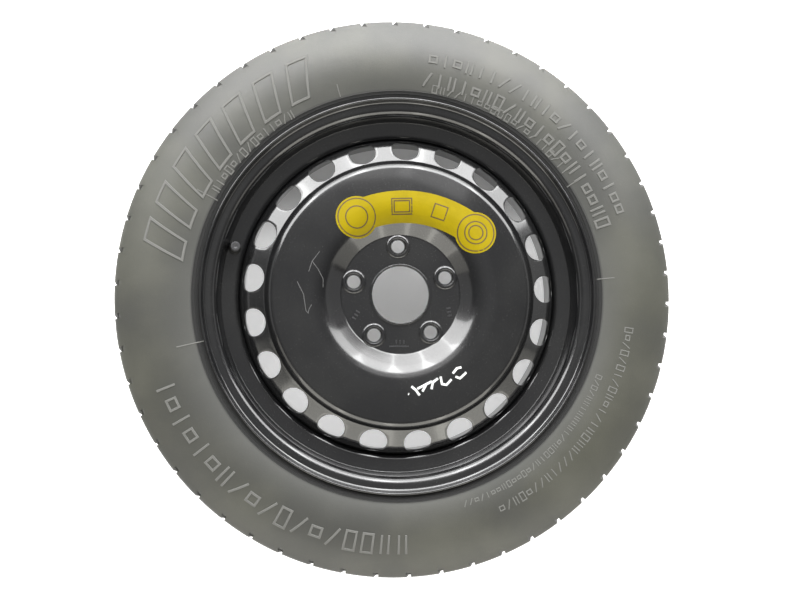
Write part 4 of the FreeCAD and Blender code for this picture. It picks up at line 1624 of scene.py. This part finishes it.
@dataclass
class Valve:
    """The snap-in valve: rubber body, threaded stem, fluted dust cap and the core inside."""

    seat_height: float = 0.02255
    hole_radius: float = 0.00565
    sheet: float = 0.0028
    base_radius: float = 0.0085
    base_height: float = 0.005
    bulb_radius: float = 0.007
    bulb_height: float = 0.003
    rubber_length: float = 0.013
    rubber_top: float = 0.0048
    stem_radius: float = 0.0029
    thread_radius: float = 0.00385
    thread_pitch: float = 0.000794
    thread_depth: float = 0.0004
    chamber_radius: float = 0.0026
    tip_height: float = 0.0225
    lower_bore: float = 0.00195
    foot_bore: float = 0.0013
    foot_bore_top: float = 0.00225
    chamber_depth: float = 0.0084
    chamber_cone: float = 0.0016
    thread_steps: int = 90
    gap: float = 0.00005
    cap_radius: float = 0.0052
    cap_mouth: float = 0.0134
    cap_roof: float = 0.02345
    cap_height: float = 0.02495
    cap_bore: float = 0.00405
    flute_count: int = 16
    flute_depth: float = 0.00035
    flute_fade: float = 0.0006
    flute_facets: int = 8
    dimple_mouth: float = 0.0023
    dimple_floor: float = 0.0012
    dimple_depth: float = 0.0006
    axis_gap: float = 0.00002
    rubber_facets: int = 72
    stem_facets: int = 48

    def __post_init__(self) -> None:
        """Takes the valve's place from the joint of its cap."""
        joint = joint_named("cap_screw")
        axis = Vector(joint["axis"]).normalized()
        base = Vector(joint["pos_m"]) - axis * self.seat_height
        turn = Vector((0.0, 0.0, 1.0)).rotation_difference(axis).to_matrix().to_4x4()
        self.matrix = Matrix.Translation(base) @ turn

    def rubber(self) -> MeshDraft:
        """The rubber body that grips the rim's hole."""
        foot = -self.sheet - self.base_height
        seat = -self.sheet - self.gap
        run = Profile([
            Corner(self.stem_radius, foot),
            Corner(self.base_radius, foot, 0.002),
            Corner(self.base_radius, seat - 0.0008, 0.0008),
            Corner(self.hole_radius, seat),
            Corner(self.hole_radius, self.gap),
            Corner(self.bulb_radius, 0.0002, 0.0004),
            Corner(self.bulb_radius, self.bulb_height, 0.0016),
            Corner(self.rubber_top, self.rubber_length * 0.7, 0.003),
            Corner(self.rubber_top, self.rubber_length, 0.0004),
            Corner(self.stem_radius, self.rubber_length),
        ])
        draft = MeshDraft()
        rows = turned_rows(run.points(), even_angles(self.rubber_facets))
        draft.grid(rows, wrap_rows=True, wrap_columns=True)
        return draft

    def stem(self) -> MeshDraft:
        """The brass stem with its thread."""
        foot = -self.sheet - self.base_height
        body = self.stem_radius - self.gap
        low = self.rubber_length + self.gap
        root = self.thread_radius - self.thread_depth
        angles = even_angles(self.stem_facets)
        seat = self.tip_height - self.chamber_depth
        inner = [
            (self.chamber_radius, self.tip_height),
            (self.chamber_radius, seat),
            (self.lower_bore, seat - self.chamber_cone),
            (self.lower_bore, self.foot_bore_top),
            (self.foot_bore, self.foot_bore_top),
            (self.foot_bore, foot),
            (body, foot),
            (body, low),
            (root, low),
        ]
        rows = turned_rows([Vector(point) for point in inner], angles)
        for step in range(1, self.thread_steps):
            height = low + (self.tip_height - low) * step / self.thread_steps
            row = []
            for angle in angles:
                phase = (height / self.thread_pitch - angle / math.tau) % 1.0
                ridge = 1 - abs(2 * phase - 1)
                radius = self.thread_radius - self.thread_depth * (1 - ridge)
                row.append(polar(radius, angle, height))
            rows.append(row)
        rows += turned_rows([Vector((root, self.tip_height))], angles)
        draft = MeshDraft()
        draft.grid(rows, wrap_rows=True, wrap_columns=True)
        return draft

    def cap(self) -> MeshDraft:
        """The dust cap with its flutes and dimpled top."""
        floor = self.cap_height - self.dimple_depth
        run = Profile([
            Corner(self.axis_gap, self.cap_roof),
            Corner(self.cap_bore, self.cap_roof),
            Corner(self.cap_bore, self.cap_mouth),
            Corner(self.cap_radius, self.cap_mouth, 0.0003),
            Corner(self.cap_radius, self.cap_height, 0.0011),
            Corner(self.dimple_mouth, self.cap_height, 0.0006),
            Corner(self.dimple_floor, floor, 0.0006),
            Corner(self.axis_gap, floor),
        ])
        angles = even_angles(self.flute_count * self.flute_facets)
        rows: Rows = []
        for point in run.points():
            row = []
            for angle in angles:
                wave = 0.5 + 0.5 * math.cos(angle * self.flute_count)
                side = max(0.0, point.x - self.cap_radius + self.flute_fade) / self.flute_fade
                radius = point.x - self.flute_depth * wave * min(1.0, side)
                row.append(polar(radius, angle, point.y))
            rows.append(row)
        draft = MeshDraft()
        draft.tube(rows)
        return draft

    def spring(self) -> None:
        """Makes the core's spring from a copy of the frame's node, in a mesh of its own."""
        mesh = frame["nodes"]["valve_core_spring"].data.copy()
        mesh.name = "core_spring"
        axis = self.matrix.to_3x3() @ Vector((0.0, 0.0, 1.0))
        base = self.matrix.translation
        heights = [(vertex.co - base).dot(axis) for vertex in mesh.vertices]
        piece = add_piece("core_spring", mesh, SPRING_STEEL.material(), "spring_steel", WHEEL_BODY,
                          ["valve_core_spring"])
        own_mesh(piece)

    def build(self) -> None:
        """Makes the visible pieces and dresses the core's own nodes."""
        brass = BRASS.material()
        pieces = (
            ("valve_body", self.rubber(), VALVE_RUBBER.material(), "valve_rubber", WHEEL_BODY, "valve_rubber"),
            ("valve_thread", self.stem(), brass, "brass", WHEEL_BODY, "valve_stem"),
            ("dust_cap", self.cap(), CAP_PLASTIC.material(), "cap_plastic", "cap_turn", "valve_cap"),
        )
        for name, draft, material, slot, body, node in pieces:
            add_piece(name, draft.moved(self.matrix).mesh(name, 40), material, slot, body, [node])
        seal = SEAL_RUBBER.material()
        for node in ("valve_core_plug", "valve_core_barrel", "valve_core_pin", "valve_core_cup"):
            dress_node(node, brass)
        for node in ("valve_core_gasket", "valve_core_washer", "valve_cap_seal"):
            dress_node(node, seal)
        self.spring()


# Studio


@dataclass(frozen=True)
class LampRow:
    """Soft panels of one size that face the wheel, side by side at one elevation, with angles in degrees."""

    name: str
    azimuths: tuple[float, ...]
    elevation: float
    width: float
    height: float
    radiance: float
    tint: Tint = (1.0, 1.0, 1.0)
    distance: float = 2.5

    def build(self) -> None:
        """Hangs every panel of the row."""
        for azimuth in self.azimuths:
            self.hang(azimuth)

    def hang(self, azimuth: float) -> None:
        """Adds one panel."""
        lamp = bpy.data.lights.new(self.name, "AREA")
        lamp.shape = "RECTANGLE"
        lamp.size = self.width
        lamp.size_y = self.height
        lamp.energy = self.radiance * math.pi * self.width * self.height
        lamp.color = self.tint
        item = placed(self.name, lamp)
        around = math.radians(azimuth)
        up = math.radians(self.elevation)
        away = Vector((math.sin(around) * math.cos(up), math.cos(around) * math.cos(up), math.sin(up)))
        item.location = away * self.distance
        item.rotation_euler = away.to_track_quat("Z", "Y").to_euler()
        item.visible_camera = False


@dataclass(frozen=True)
class Studio:
    """Camera, lamps, world and a pale floor with a painted pool of light under the wheel's vents."""

    camera_place: tuple[float, float, float] = (-0.06957, -0.04733, 0.82264)
    camera_target: tuple[float, float, float] = (-0.00101, -0.00632, 0.045)
    focal_pixels: float = 705.46
    image_width: float = 800.0
    sensor: float = 36.0
    floor_half: float = 30.0
    floor_colour: float = 0.82
    shade_glow: float = 0.15
    # Painted light: how strongly the floor glows under the lower and side vents.
    vent_painted_light: float = 0.35
    far_glow: float = 0.5
    painted_light_low: float = 0.1
    painted_light_high: float = 0.15
    far_low: float = 0.29
    far_high: float = 0.35
    open_low: float = 0.06
    open_high: float = 0.14
    sky: float = 0.4
    sky_power: float = 4.0
    fill_tint: Tint = (1.0, 0.98, 0.9)

    def camera(self) -> None:
        """Places the camera as the photograph's was."""
        lens = bpy.data.cameras.new("camera")
        lens.sensor_fit = "HORIZONTAL"
        lens.sensor_width = self.sensor
        lens.lens = self.focal_pixels / self.image_width * self.sensor
        lens.clip_start = 0.01
        item = placed("camera", lens)
        place = Vector(self.camera_place)
        ahead = (Vector(self.camera_target) - place).normalized()
        right = ahead.cross(Vector((0.0, 1.0, 0.0))).normalized()
        up = right.cross(ahead)
        turn = Matrix((right, up, -ahead)).transposed()
        item.matrix_world = Matrix.Translation(place) @ turn.to_4x4()
        bpy.context.scene.camera = item

    def floor(self) -> None:
        """Lays the floor under the wheel, with a painted pool of light under its lower and side vents, and
        paler to the eye away from the wheel.
        """
        level = CAD_BOX[0].z
        half = self.floor_half
        mesh = bpy.data.meshes.new("floor")
        corners = [(-half, -half, level), (half, -half, level), (half, half, level), (-half, half, level)]
        mesh.from_pydata(corners, [], [(0, 1, 2, 3)])
        item = placed("floor", mesh)
        shader = Shader("floor")
        shader.set(Base_Color=grey(self.floor_colour), Roughness=0.9, Specular_IOR_Level=0.2)
        path = shader.add("ShaderNodeLightPath")
        seen = shader.math("MAXIMUM", path.outputs["Is Camera Ray"], path.outputs["Is Glossy Ray"])
        seen = shader.math("MAXIMUM", seen, path.outputs["Is Transmission Ray"])
        # Painted pool of light: the floor glows under the lower and side vents, as if lit through them.
        painted_light_side = shader.ramp(shader.split(shader.object_place())["Y"], self.open_high, self.open_low)
        vents = shader.effect(Effect.RING, Low=self.painted_light_low, High=self.painted_light_high)
        outside = shader.effect(Effect.RING, Low=self.far_low, High=self.far_high)
        ring = shader.math("MULTIPLY", vents, painted_light_side)
        far = shader.math("MULTIPLY", outside, self.far_glow)
        near = shader.math("ADD", self.shade_glow, shader.math("MULTIPLY", ring, self.vent_painted_light))
        glow = shader.math("ADD", near, far)
        shader.set(Emission_Color=grey(1.0), Emission_Strength=shader.math("MULTIPLY", seen, glow))
        mesh.materials.append(shader.material)

    def lamps(self) -> None:
        """Hangs a curved bank of soft panels above the wheel's top side and a weaker one opposite."""
        middle = (-24.0, 0.0, 24.0)
        rows = (
            LampRow("low_panel", middle, elevation=9.0, width=1.05, height=0.79, radiance=5.6),
            LampRow("key_panel", middle, elevation=36.0, width=1.06, height=1.25, radiance=9.0),
            LampRow("high_panel", middle, elevation=57.0, width=0.6, height=0.6, radiance=1.4),
            LampRow("right_panel", (48.0,), elevation=36.0, width=0.95, height=1.25, radiance=7.0),
            LampRow("left_panel", (-48.0,), elevation=36.0, width=0.95, height=1.25, radiance=8.0),
            LampRow("side_panel", (-84.0, 84.0), elevation=27.0, width=1.7, height=0.9, radiance=0.5),
            LampRow("fill_panel", (144.0, 168.0, 192.0, 216.0), elevation=27.0, width=1.06, height=1.5,
                    radiance=2.7, tint=self.fill_tint),
            LampRow("fill_end_panel", (120.0, 240.0), elevation=30.0, width=0.92, height=1.0,
                    radiance=1.1, tint=self.fill_tint),
        )
        for row in rows:
            row.build()

    def world(self) -> None:
        """Fills in with a grey sky that darkens towards the horizon, and is white where the camera sees it."""
        world = bpy.data.worlds.new("world")
        world.use_nodes = True
        nodes = Nodes(world.node_tree)
        background = world.node_tree.nodes["Background"]
        direction = nodes.split(nodes.add("ShaderNodeTexCoord").outputs["Generated"])
        height = nodes.math("MAXIMUM", direction["Z"], 0.0)
        strength = nodes.math("MULTIPLY", nodes.math("POWER", height, self.sky_power), self.sky)
        camera_ray = nodes.add("ShaderNodeLightPath").outputs["Is Camera Ray"]
        nodes.feed(background.inputs["Strength"], nodes.math("MAXIMUM", strength, camera_ray))
        background.inputs["Color"].default_value = grey(1.0)
        bpy.context.scene.world = world

    def build(self) -> None:
        """Sets up the whole studio."""
        self.camera()
        self.floor()
        self.lamps()
        self.world()
        bpy.context.scene.view_settings.view_transform = "Standard"


def main() -> None:
    """Builds the wheel piece by piece, then the studio round it."""
    logging.basicConfig(level=logging.INFO, format="%(name)s: %(message)s")
    valve = Valve()
    tyre = Tyre()
    tyre.build(TyreRubber().material())
    SidewallRelief(tyre).build()
    Rim().build(WheelPaint(name="rim_paint", lines=0.6).material(), valve.matrix)
    disc = WheelDisc()
    disc.build(WheelPaint().material())
    dress_node("weld_beads", plain_material("wheel_paint"))
    DiscMarks(disc).build()
    Sticker(disc).build()
    valve.build()
    Studio().build()


if __name__ == "__main__":
    main()
